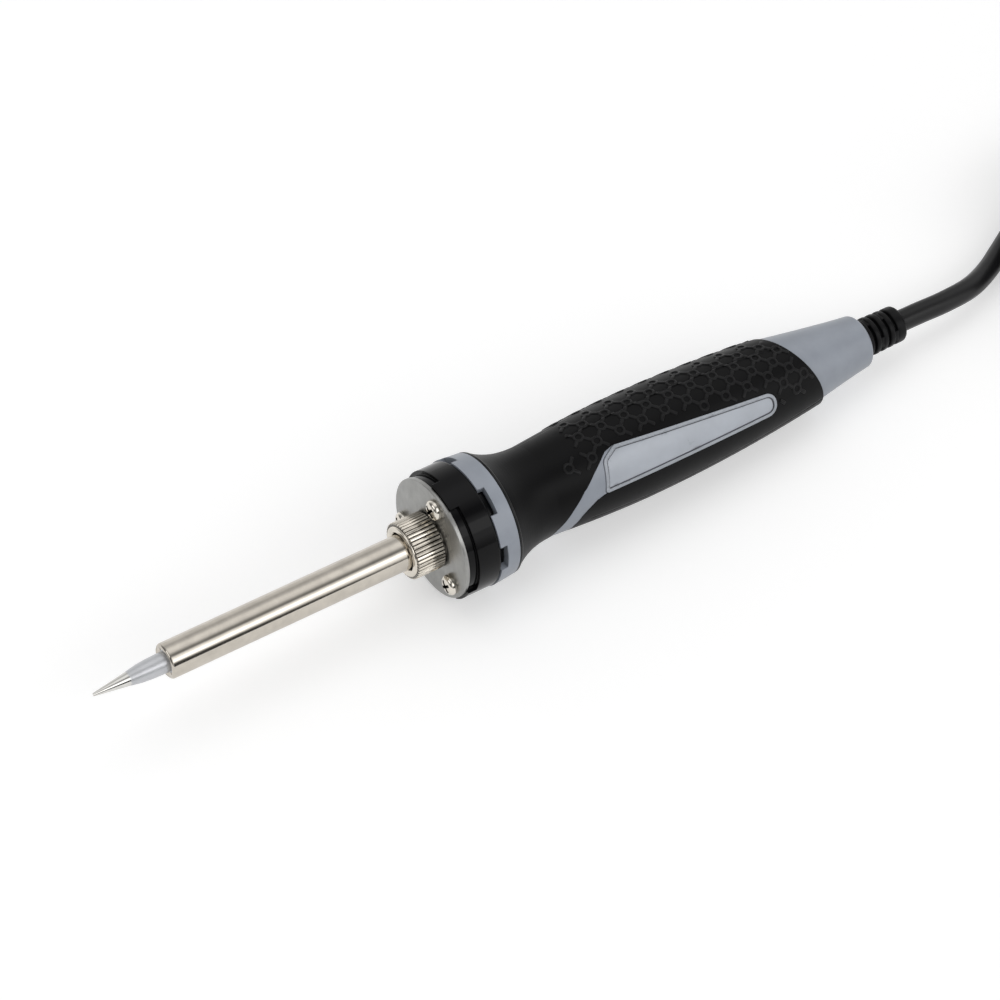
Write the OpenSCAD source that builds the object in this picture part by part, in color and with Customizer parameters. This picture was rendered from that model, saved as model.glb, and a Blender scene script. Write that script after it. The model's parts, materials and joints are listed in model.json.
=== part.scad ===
// Mains soldering iron with a ceramic heater, lying on its flange and grip.
// Every part of the iron is drawn along its own axis: x = 0 is the front face of the flange
// plate, +x runs back to the cord. laid_down() then sets the iron on the surface z = 0.
// Round profiles are lists of [x, radius]. Angles go round the axis from the left side (-y) at 0
// over the top (+z) at 90.

/* [Tip] */
// Length of the bright point in front of the shank
point_l = 9.6; // [6:0.1:14]
// Diameter at the end of the point
point_end_d = 0.9; // [0.5:0.1:2]
// Diameter where the point meets the shank
point_root_d = 3.7; // [3:0.1:4.6]
// Length of the shank in front of the barrel
shank_l = 10.1; // [6:0.1:14]
// Diameter of the shank
shank_d = 5.4; // [5.2:0.1:6]
// Diameter of the shoulder behind the barrel's lip
tip_shoulder_d = 7.6; // [7:0.1:8.2]
// Length of the shoulder
tip_shoulder_l = 3; // [2:0.1:5]
// Outside diameter of the sleeve over the heater
tip_sleeve_d = 6.2; // [5.8:0.1:6.8]
// Length of the sleeve behind the shoulder
tip_sleeve_l = 20; // [12:0.5:30]

/* [Barrel and nut] */
// Outside diameter of the barrel tube
barrel_d = 9.5; // [9.3:0.1:9.8]
// Length of the barrel tube in front of the nut
barrel_l = 68.9; // [55:0.1:80]
// Wall of the barrel tube
barrel_wall = 0.35; // [0.25:0.05:0.5]
// Radius of the barrel's rolled front edge
barrel_roll = 0.7; // [0.4:0.05:1]
// Thickness of the lip that holds the tip
barrel_lip_t = 0.6; // [0.4:0.05:1]
// Diameter of the barrel's rear flange
barrel_flange_d = 12.2; // [11.4:0.1:12.6]
// Diameter of the nut over its knurl
nut_d = 15.4; // [14.8:0.1:17]
// Length of the nut
nut_l = 8.4; // [7.6:0.1:9.4]
// Thickness of the nut's front wall
nut_wall = 1.4; // [1:0.1:2]
// Number of knurl ridges
knurl_count = 45; // [36:1:60]
// Depth of the knurl
knurl_depth = 0.35; // [0.2:0.05:0.45]
// Diameter of the thread
thread_d = 13; // [12.8:0.1:13.2]
// Advance of the nut in one turn
thread_pitch = 1; // [0.75:0.25:1.5]

/* [Heater] */
// Diameter of the ceramic heater rod
heater_d = 4; // [3.6:0.1:4.4]
// How far the heater's end lies behind the barrel's front
heater_setback = 6; // [5:0.1:9]
// Bore of the socket that holds the heater's collar
socket_bore_d = 10; // [9.4:0.1:10.4]
// Diameter of the socket's flange behind the plate
socket_flange_d = 18; // [16:0.5:18.4]
// Thickness of the socket's flange
socket_flange_t = 1.4; // [1:0.1:2]
// Length of the socket behind the plate
socket_tail_l = 7.8; // [6:0.1:8.6]

/* [Flange] */
// Diameter of the steel flange plate
plate_d = 32.5; // [31:0.1:33]
// Thickness of the steel flange plate
plate_t = 1.2; // [0.8:0.1:2]
// How far the ring's side lies inside the flange's edge
shield_inset = 0.25; // [0.1:0.05:0.8]
// Length of the heat shield ring
shield_l = 8.9; // [8.4:0.1:12]
// Inside diameter of the heat shield ring
shield_bore_d = 27.4; // [26:0.1:28.4]
// Length of the ring's stepped front rim
shield_rim_l = 2.4; // [1.5:0.1:4]
// Depth of the step in the front rim
shield_rim_step = 1; // [0.5:0.1:1.4]
// Width of each of the three tabs on the rim
shield_tab_angle = 30; // [20:1:44]
// Circle of the three screws
screw_circle_d = 25.2; // [25:0.1:25.6]
// Thread diameter of the plate screws
screw_d = 2.9; // [2.5:0.1:3.1]
// Head diameter of the plate screws
screw_head_d = 5.3; // [4.8:0.1:5.8]
// Head height of the plate screws
screw_head_h = 1.8; // [1.4:0.1:2.2]
// Length of the plate screws under the head
screw_l = 16; // [13:0.5:17]
// Angle of the first screw
screw_angle = 83.6; // [80:0.1:88]

/* [Handle] */
// Diameter of the handle's flange at its front
flange_d = 34.5; // [34:0.1:36]
// Diameter of the handle's flange at its rear
flange_rear_d = 33.5; // [32:0.1:34]
// Length of the handle's flange
flange_l = 5.8; // [5:0.1:8]
// Width of each vent notch in the flange
vent_angle = 25; // [15:1:32]
// Length of the vent notches
vent_l = 2; // [1:0.1:3]
// Diameter of the grip just behind the flange
grip_lip_d = 33; // [31:0.1:33.4]
// Diameter of the grip at its neck
neck_d = 24.8; // [24:0.1:26]
// Distance of the neck from the flange plate's front
neck_x = 31; // [29:0.5:34]
// Diameter of the grip at its belly
belly_d = 27.8; // [27:0.1:29]
// Distance of the belly from the flange plate's front
belly_x = 62.5; // [58:0.5:68]
// Diameter of the grip at the rear end of the rubber
grip_end_d = 23.3; // [22.6:0.1:24.4]
// Distance of the rubber's rear end from the flange plate's front
grip_end_x = 108.4; // [104:0.1:112]
// Thickness of the rubber
rubber_t = 2; // [1.6:0.1:2.2]
// Distance of the slanting rubber edge, on the axis
rear_cut_x = 110.8; // [109:0.1:113]
// Slant of the rubber edge
rear_cut_tilt = 24; // [8:0.1:26]
// Direction in which the rubber edge reaches furthest back
rear_cut_angle = -26; // [-60:1:40]
// Diameter of the bare tail where the rubber ends
tail_d = 21.4; // [20.8:0.1:22]
// Diameter of the tail at its rear end
tail_end_d = 14.5; // [13.6:0.1:16]
// Distance of the handle's rear end from the flange plate's front
tail_x = 134.8; // [130:0.1:142]
// Radius of the tail's rear edge
tail_edge = 1.2; // [0.5:0.1:2]
// Bore of the handle
bore_d = 17.2; // [16.8:0.1:17.6]
// Bore of the handle's rear end
tail_bore_d = 12.4; // [11.4:0.1:12.8]

/* [Label plates] */
// Angle round the axis of the left label plate
label_angle = 39; // [30:1:48]
// Distance of the label plate's front lower corner
label_x = 45.6; // [44:0.1:48]
// Length of the label plate along its lower edge
label_l = 53.6; // [46:0.1:56]
// How far its front upper corner lies behind the lower one
label_rake = 4.9; // [3:0.1:8]
// Height of the front upper corner above the plate's centre line
label_top = 5.5; // [4.5:0.1:6]
// Height of the lower edge below the plate's centre line
label_low = 5.5; // [4:0.1:5.8]
// Width of the plate at its rounded rear end
label_end_w = 6; // [4.6:0.1:6.6]
// Thickness of the label plate
label_t = 0.8; // [0.5:0.1:1.2]
// Width of its raised border
label_border = 0.9; // [0.5:0.1:1.4]
// Depth of the panel inside the border
label_sink = 0.3; // [0.15:0.05:0.4]

/* [Wiring] */
// Distance of the wiring carrier from the flange plate's front
carrier_x = 22; // [20:0.5:26]
// Length of the wiring carrier
carrier_l = 76; // [73:0.5:78]
// Thickness of the wiring carrier
carrier_t = 2; // [1.4:0.1:2.6]
// Distance of the terminal block from the flange plate's front
block_x = 38; // [36:0.5:42]
// Length of the terminal block
block_l = 18; // [15:0.5:20]
// Height of the terminal block
block_h = 7.2; // [6.4:0.1:7.8]
// Distance between neighbouring terminals
terminal_pitch = 4; // [3.6:0.1:4.2]
// Diameter of each insulated core
core_d = 2; // [1.6:0.1:2.2]
// Distance of the cord clamp from the flange plate's front
clamp_x = 84; // [80:0.5:86]
// Length of the cord clamp
clamp_l = 8; // [6:0.5:10]
// Height of the cord clamp above the cord's centre
clamp_h = 4.2; // [4:0.1:4.6]

/* [Cord and strain relief] */
// Diameter of the mains cord
cord_d = 6; // [5.6:0.1:6.2]
// Diameter of the strain relief where it leaves the handle
relief_d = 10.6; // [9.6:0.1:11]
// Diameter of the strain relief at its end
relief_end_d = 9.8; // [8.6:0.1:10]
// Length of the strain relief outside the handle
relief_l = 12.9; // [10:0.1:18]
// Number of slotted rings in the strain relief
relief_slots = 5; // [3:1:6]
// Depth of the slots
relief_slot_depth = 1; // [0.6:0.1:1.2]
// Straight length of the hank's runs
hank_run_l = 90; // [80:1:100]
// Width of the tie round the hank
tie_w = 12; // [8:1:14]
// Thickness of the tie
tie_t = 1; // [0.8:0.1:1.5]

/* [Mains plug] */
// Diameter of the plug
plug_d = 37; // [36:0.5:39]
// Height of the plug from its back to its face
plug_h = 24; // [22:0.5:28]
// Height of the cord's entry above the plug's back
plug_entry_h = 7; // [6.5:0.1:8]
// Diameter of the plug's pins
pin_d = 4.8; // [4:0.1:5]
// Distance between the pins
pin_pitch = 19; // [18:0.5:20]
// Length of the pins
pin_l = 19; // [17:0.5:21]
// Length of the plug's own strain relief
plug_sleeve_l = 25; // [18:0.5:25]

/* [Hidden] */
$fn = 64;

// Clearances
thread_gap = 0.05;    // between the nut's and the socket's thread, all round
seat_gap = 0.05;      // between faces of parts that come apart
slip_gap = 0.08;      // between the heater and the tip's bore, all round
fit_gap = 0.03;       // between parts that are assembled and stay
hole_gap = 0.15;      // round a screw in a plain hole
open_gap = 0.15;      // between the nut and the flange plate
cut = 1;              // how far a cutting tool stands out of what it cuts
reach = 40;           // larger than any radius of the iron

// Places along the axis
nut_front = -nut_l;
barrel_front = nut_front - barrel_l;
shank_front = barrel_front - shank_l;
tip_end = shank_front - point_l;
barrel_flange_x = nut_front + nut_wall + seat_gap;
barrel_flange_t = 0.6;
socket_front = barrel_flange_x + barrel_flange_t + seat_gap;
socket_end = plate_t + socket_tail_l;
socket_lip = 0.8;
shield_x = plate_t;
flange_x = shield_x + shield_l;
flange_end = flange_x + flange_l;
heater_front = barrel_front + heater_setback;
collar_front = socket_front + socket_lip + fit_gap;
collar_end = socket_end - socket_lip - fit_gap;
heater_end = socket_end + 0.8;
relief_x = tail_x;
relief_end = relief_x + relief_l;

// Screws and vents round the flange
screw_angles = [screw_angle, screw_angle - 120, screw_angle + 120];
vent_angles = [for (a = screw_angles) each [a - 21.8, a + 43.6]];  // two beside each screw
lug_gap = 0.15;
lug_sink = 2.1;        // below the flange
boss_r = 3.2;
shield_d = flange_d - 2 * shield_inset;

// Outline of the grip
lip_l = 0.9;
flare_power = 2.4;
line_steps = 16;

function flare_r(x) = neck_d / 2 + (grip_lip_d - neck_d) / 2
    * pow((neck_x - x) / (neck_x - flange_end - lip_l), flare_power);
function neck_to_belly_r(x) = neck_d / 2
    + (belly_d - neck_d) / 2 * sin(90 * (x - neck_x) / (belly_x - neck_x));
function behind_belly_r(x) = belly_d / 2
    - (belly_d - grip_end_d) / 2 * pow((x - belly_x) / (grip_end_x - belly_x), 2);
function grip_r(x) =
    x < flange_end + lip_l ? grip_lip_d / 2
    : x < neck_x ? flare_r(x)
    : x < belly_x ? neck_to_belly_r(x)
    : behind_belly_r(x);
// Outline of the bare tail behind the rubber
tail_start = grip_end_x + 3;
tail_power = 1.13;
function tail_r(x) = tail_end_d / 2
    + (tail_d - tail_end_d) / 2 * pow((tail_x - x) / (tail_x - tail_start), tail_power);

// Stations along the grip, closer where it curves more
grip_stop = grip_end_x + 11;
grip_stations = [
    for (i = [0:line_steps - 1]) flange_end + lip_l + (neck_x - flange_end - lip_l) * i / line_steps,
    for (i = [0:line_steps - 1]) neck_x + (belly_x - neck_x) * i / line_steps,
    for (i = [0:line_steps]) belly_x + (grip_stop - belly_x) * i / line_steps
];
function grip_line(rise) = [for (x = grip_stations) [x, grip_r(x) + rise]];
function reversed(list) = [for (i = [len(list) - 1:-1:0]) list[i]];

// Window of the label plate, as [x, height above the plate's centre line]
label_corner = 0.8;
label_outline = [
    [label_x - 1.2, -label_low],
    [label_x + label_l, -label_low],
    [label_x + label_l, label_end_w - label_low],
    [label_x + label_rake, label_top],
    [label_x + 0.1 * label_rake, 0.55 * label_top]
];
label_end_r = label_end_w / 2 - 0.1;
label_radii = [label_corner, label_end_r, label_end_r, 2 * label_corner, 3 * label_corner];

// Bare band that sweeps from the label plate forward and under the grip, each part of it seen
// from its own side
band_angle = 4.5;
band_outline = [
    [label_x - 5, 6.3], [label_x - 6.9, 5.2], [label_x - 10.5, 1.4], [label_x - 14.9, -4.4],
    [label_x - 17.2, -8.2], [label_x - 17.3, -9.6], [label_x - 10.2, -9.6], [label_x - 9.9, -5.7],
    [label_x - 8.1, -2.2], [label_x - 6.5, -0.5], [label_x - 3.8, 1.5], [label_x - 1.5, 2.3],
    [label_x + 3, 3.2]
];
band_top_outline = [
    [label_x + 8, 5.1], [label_x + 4.7, 5.5], [label_x + 1.9, 4.8], [label_x - 2.9, 1], [label_x - 6.3, -2.1],
    [label_x - 6.9, -3.4], [label_x - 5, -4.9], [label_x + 1.5, -5.2], [label_x + 4, -4.6], [label_x + 8, 4]
];
// Where the two sides' bands meet under the grip
bridge_outline = [
    [label_x - 17.5, -2.6], [label_x - 10, -2.6], [label_x - 10, 2.6], [label_x - 17.5, 2.6]
];
band_rise = -0.05;
pad_sink = 0.5;
seat_room = 0.1;

// Wiring inside the handle
carrier_top = -cord_d / 2 - fit_gap;
carrier_w = 2 * sqrt(pow(bore_d / 2 - fit_gap, 2) - pow(carrier_top - carrier_t, 2));
block_w = 2 * terminal_pitch + 4.4;
block_top = carrier_top + block_h;
block_end = block_x + block_l;
terminal_hole_d = core_d + 0.5;
terminal_screw_d = 2.4;
terminal_screw_xs = [block_x + 3.5, block_end - 3.5];
terminal_ys = [-terminal_pitch, 0, terminal_pitch];
inner_cord_x = clamp_x - 4;
clamp_w = 13.8;
clamp_screw_d = 2.2;
clamp_head_d = 3.6;
clamp_head_h = 1.2;
clamp_screw_y = 4.6;
lead_d = 0.9;
sleeve_d = 2.2;
lead_y = 1.1;
tag_angle = 24;
// The earth wire from the block to its tag: shares of the length, and of the tag's distance from
// the axis to the left and up; its last stretch is straight
wire_way = [[1.2, 0, 0], [1, 0, 0], [0.83, 0.09, 0.38], [0.62, 0.38, 0.64], [0.38, 0.73, 0.58]];
wire_straight = 0.14;
tag_w = 3;
tag_t = 0.8;
tag_y = socket_r() + fit_gap + tag_t / 2;
function socket_r() = thread_d / 2;

// How the iron lies: on the front edge of its flange and on the grip
rest_slopes = [for (x = grip_stations) if (x > neck_x && x < grip_end_x)
    atan((flange_d / 2 - grip_r(x)) / (x - flange_x))];
lay_tilt = min(rest_slopes);
lay_z = flange_x * sin(lay_tilt) + flange_d / 2 * cos(lay_tilt);
lay_x = -((relief_end + tip_end) * cos(lay_tilt)
    + (relief_end_d - point_end_d) / 2 * sin(lay_tilt)) / 2;
function laid(p) = [
    p[0] * cos(lay_tilt) + p[2] * sin(lay_tilt) + lay_x,
    p[1],
    p[2] * cos(lay_tilt) - p[0] * sin(lay_tilt) + lay_z
];

// The free cord. Its lead runs from the strain relief to the hank, and its tail from the hank
// to the plug.
lead_route = [
    [130, 0, 9.6], [138, 0, 8.9], [148, 1.4, 7.4], [157, 5.2, 5.4], [166, 10.4, 3.7],
    [175, 15.6, 3], [184, 20.8, 3], [190, 23.2, 3], [196, 24, 3]
];
tail_route = [
    [206, 23, 15], [216, 18.4, 15.3], [226, 11.8, 16.5], [235, 5.6, 17.8], [243, 1.6, 18.7],
    [250, 0, 19], [256, 0, 19]
];
lead_straight_l = 2.5;  // in line with the strain relief
hank_x = 196;         // centre of the hank's front fold
fold_r = 18;          // to the middle of the inner turns
layers = 2;
columns = 2;
hank_h = layers * cord_d;
hank_outer_r = fold_r + (columns - 0.5) * cord_d;
hank_inner_r = fold_r - cord_d / 2;
last_turn_r = fold_r + (columns - 1) * cord_d;
last_turn_z = hank_h + cord_d / 2;
tie_x = hank_x + 1;
tie_h = last_turn_z + cord_d / 2;

// The plug lies on its back on the hank, at the tail's end
plug_entry = tail_route[len(tail_route) - 1];
plug_x = plug_entry[0] + plug_sleeve_l + plug_d / 2;
plug_back_z = plug_entry[2] - plug_entry_h;
plug_face_z = plug_back_z + plug_h;
plug_nose_r = 5;
pin_root_l = 6;       // the pins' thinner roots in the plug
pin_root_d = pin_d - 0.6;
plug_groove_w = 7;
plug_groove_t = 2;
plug_groove_h = 12;
earth_hole_d = 5;
earth_hole_l = 16;
earth_hole_y = 0;
earth_hole_x = 10;
clip_t = 0.8;
clip_w = 6;

// ---- Helpers ----

// A solid turned about the iron's axis from a profile of [x, radius]
module turned(profile)
    rotate([0, 90, 0]) rotate_extrude() polygon([for (p = profile) [p[1], p[0]]]);

// A round rod along the axis
module rod(x0, x1, d)
    translate([x0, 0, 0]) rotate([0, 90, 0]) cylinder(h = x1 - x0, d = d);

// Turns something drawn on the left side to another angle round the axis
module at_angle(a) rotate([-a, 0, 0]) children();

// An outline of [x, height], drawn on the left side and cut straight in through the wall, to a
// depth left from the axis
module through_side(outline, left)
    translate([0, -left, 0]) rotate([90, 0, 0]) linear_extrude(reach) polygon(outline);

// A wedge that opens to the left side
module wedge(x0, x1, angle)
    translate([x0, 0, 0]) rotate([90, 0, 90]) linear_extrude(x1 - x0)
        polygon([[0, 0], [-reach, -reach * tan(angle / 2)], [-reach, reach * tan(angle / 2)]]);

// The left side's copy on the right side
module other_side() mirror([0, -cos(label_angle), sin(label_angle)]) children();

// A skin of the grip between two heights above its surface
module grip_skin(low, high)
    turned(concat(grip_line(high), reversed(grip_line(low))));

// The space behind the rubber's slanting rear edge
module behind_rear_cut()
    at_angle(rear_cut_angle) translate([rear_cut_x, 0, 0]) rotate([0, 0, rear_cut_tilt])
        translate([0, -reach, -reach]) cube(2 * reach);

module laid_down() translate([lay_x, 0, lay_z]) rotate([0, lay_tilt, 0]) children();

// Points of an arc in an [x, radius] profile
function arc(x, r, radius, from, to, steps = 6) =
    [for (i = [0:steps]) let (a = from + (to - from) * i / steps)
        [x + radius * cos(a), r + radius * sin(a)]];

function unit(v) = v / norm(v);

// The corner where two edges meet once each has moved inwards by d
function moved_corner(a, b, c, d) =
    let (u = unit(b - a), v = unit(c - b), turn = u[0] * v[1] - u[1] * v[0])
        b + (v - u) * d / turn;
function inset(p, d) =
    let (n = len(p)) [for (i = [0:n - 1]) moved_corner(p[(i + n - 1) % n], p[i], p[(i + 1) % n], d)];

// An outline drawn counterclockwise with its corners rounded
function round_corner(a, b, c, r, steps = 6) =
    let (
        u = unit(a - b),
        v = unit(c - b),
        half = acos(u * v) / 2,
        centre = b + unit(u + v) * r / sin(half),
        from = atan2(b[1] + u[1] * r / tan(half) - centre[1], b[0] + u[0] * r / tan(half) - centre[0]),
        sweep = 180 - 2 * half
    )
    [for (i = [0:steps]) let (a = from + sweep * i / steps) centre + r * [cos(a), sin(a)]];
function rounded(p, radii) =
    let (n = len(p))
    [for (i = [0:n - 1]) each round_corner(p[(i + n - 1) % n], p[i], p[(i + 1) % n], radii[i])];

// A cord swept along a path: one ring of corners at each point, square to the path there
function path_way(path, i) =
    unit(path[min(i + 1, len(path) - 1)] - path[max(i - 1, 0)]);
function path_ring(path, i, r, sides) =
    let (way = path_way(path, i), side = unit(cross(way, [0, 0, 1])), up = cross(side, way))
    [for (k = [0:sides - 1]) let (a = 360 * (k + 0.5) / sides)
        path[i] + r * (cos(a) * side + sin(a) * up)];
module swept(path, d, sides = 8) {
    last = len(path) - 1;
    corners = [for (i = [0:last]) each path_ring(path, i, d / 2, sides)];
    walls = [for (i = [0:last - 1], k = [0:sides - 1])
        let (m = (k + 1) % sides)
        [i * sides + k, i * sides + m, (i + 1) * sides + m, (i + 1) * sides + k]];
    front = [for (k = [sides - 1:-1:0]) k];
    back = [for (k = [0:sides - 1]) last * sides + k];
    polyhedron(points = corners, faces = concat(walls, [front, back]), convexity = 10);
}

// ---- Tip, barrel and nut: they come off forwards together ----

module soldering_tip() color("#c9c9c4") laid_down() {
    shoulder_x = barrel_front + barrel_lip_t + seat_gap;
    shoulder_end = shoulder_x + tip_shoulder_l;
    sleeve_end = shoulder_end + tip_sleeve_l;
    bore_r = heater_d / 2 + slip_gap;
    bore_front = heater_front - open_gap;
    turned([
        [tip_end, 0],
        [tip_end, point_end_d / 2],
        [shank_front, point_root_d / 2],
        [shank_front + 0.3 * shank_l, point_root_d / 2 + 0.62 * (shank_d - point_root_d) / 2],
        [shank_front + 0.6 * shank_l, point_root_d / 2 + 0.92 * (shank_d - point_root_d) / 2],
        [shank_front + 0.85 * shank_l, shank_d / 2],
        [shoulder_x, shank_d / 2],
        [shoulder_x, tip_shoulder_d / 2],
        [shoulder_end, tip_shoulder_d / 2],
        [shoulder_end, tip_sleeve_d / 2],
        [sleeve_end, tip_sleeve_d / 2],
        [sleeve_end, bore_r],
        [bore_front, bore_r],
        [bore_front - bore_r, 0]
    ]);
}

module barrel_tube() color("#b9b3a6") laid_down() {
    r = barrel_d / 2;
    bore_r = r - barrel_wall;
    lip_r = shank_d / 2 + slip_gap;
    flange_back = barrel_flange_x + barrel_flange_t;
    turned(concat(
        [[barrel_front, lip_r]],
        arc(barrel_front + barrel_roll, r - barrel_roll, barrel_roll, 180, 90),
        [
            [barrel_flange_x, r],
            [barrel_flange_x, barrel_flange_d / 2],
            [flange_back, barrel_flange_d / 2],
            [flange_back, bore_r],
            [barrel_front + barrel_lip_t, bore_r],
            [barrel_front + barrel_lip_t, lip_r]
        ]
    ));
}

module barrel_nut() color("#c4bba9") laid_down() {
    nut_end = -open_gap;
    bevel = 0.6;
    bore_r = thread_d / 2 + thread_gap;
    hole_r = barrel_d / 2 + slip_gap;
    root_r = nut_d / 2 - knurl_depth;
    step = 360 / knurl_count;
    difference() {
        intersection() {
            translate([nut_front, 0, 0]) rotate([90, 0, 90]) linear_extrude(nut_end - nut_front)
                polygon([for (i = [0:knurl_count - 1]) for (ridge = [0, 1])
                    let (a = step * (i + ridge / 2), r = ridge == 1 ? nut_d / 2 : root_r)
                    [r * cos(a), r * sin(a)]]);
            turned([
                [nut_front, 0],
                [nut_front, nut_d / 2 - 2 * bevel],
                [nut_front + bevel + cut / 2, nut_d / 2 + cut],
                [nut_end - bevel / 2 - cut, nut_d / 2 + cut],
                [nut_end, nut_d / 2 - bevel / 2],
                [nut_end, 0]
            ]);
        }
        rod(nut_front + nut_wall, nut_end + cut, 2 * bore_r);
        turned([
            [nut_front - cut, 0],
            [nut_front - cut, hole_r + bevel + cut],
            [nut_front + bevel, hole_r],
            [nut_front + nut_wall + cut, hole_r],
            [nut_front + nut_wall + cut, 0]
        ]);
    }
}

// ---- Heater and its socket ----

module barrel_socket() color("#a89f8c") laid_down() {
    r = thread_d / 2;
    lip_r = socket_bore_d / 2 - 1.2;
    turned([
        [socket_front, lip_r],
        [socket_front, r],
        [plate_t, r],
        [plate_t, socket_flange_d / 2],
        [plate_t + socket_flange_t, socket_flange_d / 2],
        [plate_t + socket_flange_t, r],
        [socket_end, r],
        [socket_end, lip_r],
        [socket_end - socket_lip, lip_r],
        [socket_end - socket_lip, socket_bore_d / 2],
        [socket_front + socket_lip, socket_bore_d / 2],
        [socket_front + socket_lip, lip_r]
    ]);
}

module ceramic_heater() color("#e8e4da") laid_down()
    rod(heater_front, heater_end, heater_d);

module heater_collar() color("#d8d2c4") laid_down() difference() {
    rod(collar_front, collar_end, socket_bore_d - 2 * fit_gap);
    rod(collar_front - cut, collar_end + cut, heater_d + 2 * fit_gap);
}

// ---- Flange ----

module flange_plate() color("#9d9c97") laid_down() difference() {
    rod(0, plate_t, plate_d);
    rod(-cut, plate_t + cut, thread_d + 2 * fit_gap);
    for (a = screw_angles) at_angle(a) translate([0, -screw_circle_d / 2, 0])
        rod(-cut, plate_t + cut, screw_d + 2 * hole_gap);
}

// Pan-head screw with a cross recess, its head's underside at x = 0
module pan_screw() {
    recess_w = 0.7;
    recess_l = 3;
    recess_h = 1;
    brim_h = 0.4 * screw_head_h;
    difference() {
        turned(concat(
            [
                [screw_l, 0],
                [screw_l, screw_d / 2],
                [0, screw_d / 2],
                [0, screw_head_d / 2],
                [-brim_h, screw_head_d / 2]
            ],
            [for (i = [1:5]) let (a = 90 * i / 5) [
                -brim_h - (screw_head_h - brim_h) * sin(a),
                screw_head_d / 2 * (0.35 + 0.65 * cos(a))
            ]],
            [[-screw_head_h, 0]]
        ));
        for (a = [0, 90]) rotate([a, 0, 0])
            translate([-screw_head_h - cut, -recess_l / 2, -recess_w / 2])
                cube([recess_h + cut, recess_l, recess_w]);
    }
}

// The ring's lugs reach into the flange's notches and key it to the handle
module shield_lugs() for (a = vent_angles) at_angle(a) intersection() {
    wedge(flange_x - cut, flange_x + vent_l - lug_gap, vent_angle - 1);
    difference() {
        rod(flange_x - 2 * cut, flange_x + vent_l, flange_d - 2 * lug_sink);
        rod(flange_x - 3 * cut, flange_x + vent_l + cut, shield_bore_d + 2 * fit_gap);
    }
}

module plate_screws() color("#cfcfca") laid_down()
    for (a = screw_angles) at_angle(a) translate([0, -screw_circle_d / 2, 0]) pan_screw();

module heat_shield_ring() color("#121212") laid_down() {
    rim_x = shield_x + shield_rim_l;
    r = shield_d / 2;
    edge = 0.6;
    difference() {
        union() {
            intersection() {
                union() {
                    difference() {
                        rod(shield_x - cut, flange_x + cut, shield_d + 2 * cut);
                        rod(shield_x - 2 * cut, flange_x + 2 * cut, shield_bore_d);
                    }
                    for (a = screw_angles) at_angle(a) intersection() {
                        translate([0, -screw_circle_d / 2, 0])
                            rod(shield_x - cut, flange_x + cut, 2 * boss_r);
                        rod(shield_x - 2 * cut, flange_x + 2 * cut, shield_bore_d + 1);
                    }
                }
                turned(concat(
                    [
                        [shield_x, 0],
                        [shield_x, r - shield_rim_step],
                        [rim_x, r - shield_rim_step],
                        [rim_x, r]
                    ],
                    arc(flange_x - edge, r - edge, edge, 90, 0),
                    [[flange_x, 0]]
                ));
            }
            shield_lugs();
            for (a = screw_angles) at_angle(a) intersection() {
                wedge(shield_x, rim_x + cut, shield_tab_angle);
                turned([
                    [shield_x, r - shield_rim_step - cut],
                    [shield_x, r],
                    [rim_x + cut, r],
                    [rim_x + cut, r - shield_rim_step - cut]
                ]);
            }
        }
        for (a = screw_angles) at_angle(a) translate([0, -screw_circle_d / 2, 0])
            rod(shield_x - cut, flange_x + cut, screw_d + 2 * hole_gap);
    }
}

// ---- Wiring ----

module earth_tag() color("#c8a45a") laid_down() at_angle(tag_angle)
    translate([plate_t + socket_flange_t, -tag_y - tag_t / 2, -tag_w / 2])
        cube([socket_tail_l - socket_flange_t, tag_t, tag_w]);

module earth_wire() color("#7a9a2e") laid_down() {
    tag_end = [socket_end + fit_gap, -tag_y * cos(tag_angle), tag_y * sin(tag_angle)];
    free_l = block_x - tag_end[0];
    swept(concat(
        [for (p = wire_way) [tag_end[0] + p[0] * free_l, -p[1] * tag_y, p[2] * tag_y]],
        [tag_end + [wire_straight * free_l, 0, 0], tag_end]
    ), core_d);
}

// The two lead paths, from the heater's end to the outer terminals
function lead_path(side, last) = [
    [heater_end, side * lead_y, 0],
    [heater_end + 6, side * lead_y, 0],
    [block_x - 4, side * terminal_pitch, 0],
    [last, side * terminal_pitch, 0]
];

module heater_leads() color("#d9d4c8") laid_down()
    for (side = [-1, 1]) swept(lead_path(side, block_x + 6), lead_d);

module lead_sleeves() color("#f0ece0") laid_down()
    for (side = [-1, 1]) difference() {
        swept(lead_path(side, block_x - fit_gap), sleeve_d);
        translate([-0.5, 0, 0]) swept(lead_path(side, block_x + 6), lead_d + 0.2);
    }

module terminal_block() color("#d7d2c6") laid_down() difference() {
    translate([block_x, -block_w / 2, carrier_top]) cube([block_l, block_w, block_h]);
    for (y = terminal_ys) translate([0, y, 0]) {
        rod(block_x - cut, block_end + cut, terminal_hole_d);
        for (x = terminal_screw_xs) translate([x, 0, 0]) cylinder(h = reach, d = terminal_screw_d + 0.1);
    }
}

module terminal_screws() color("#b9a05a") laid_down()
    for (y = terminal_ys, x = terminal_screw_xs) translate([x, y, 0]) difference() {
        foot = core_d / 2 + fit_gap;
        translate([0, 0, foot]) cylinder(h = block_top - foot - 0.4, d = terminal_screw_d);
        translate([-reach, -0.3, block_top - 1.1]) cube([2 * reach, 0.6, reach]);
    }

module wiring_carrier() color("#6b4a2a") laid_down() difference() {
    translate([carrier_x, -carrier_w / 2, carrier_top - carrier_t]) cube([carrier_l, carrier_w, carrier_t]);
    for (y = [-clamp_screw_y, clamp_screw_y]) translate([clamp_x + clamp_l / 2, y, carrier_top - reach])
        cylinder(h = reach + cut, d = clamp_screw_d + 2 * fit_gap);
}

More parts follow.
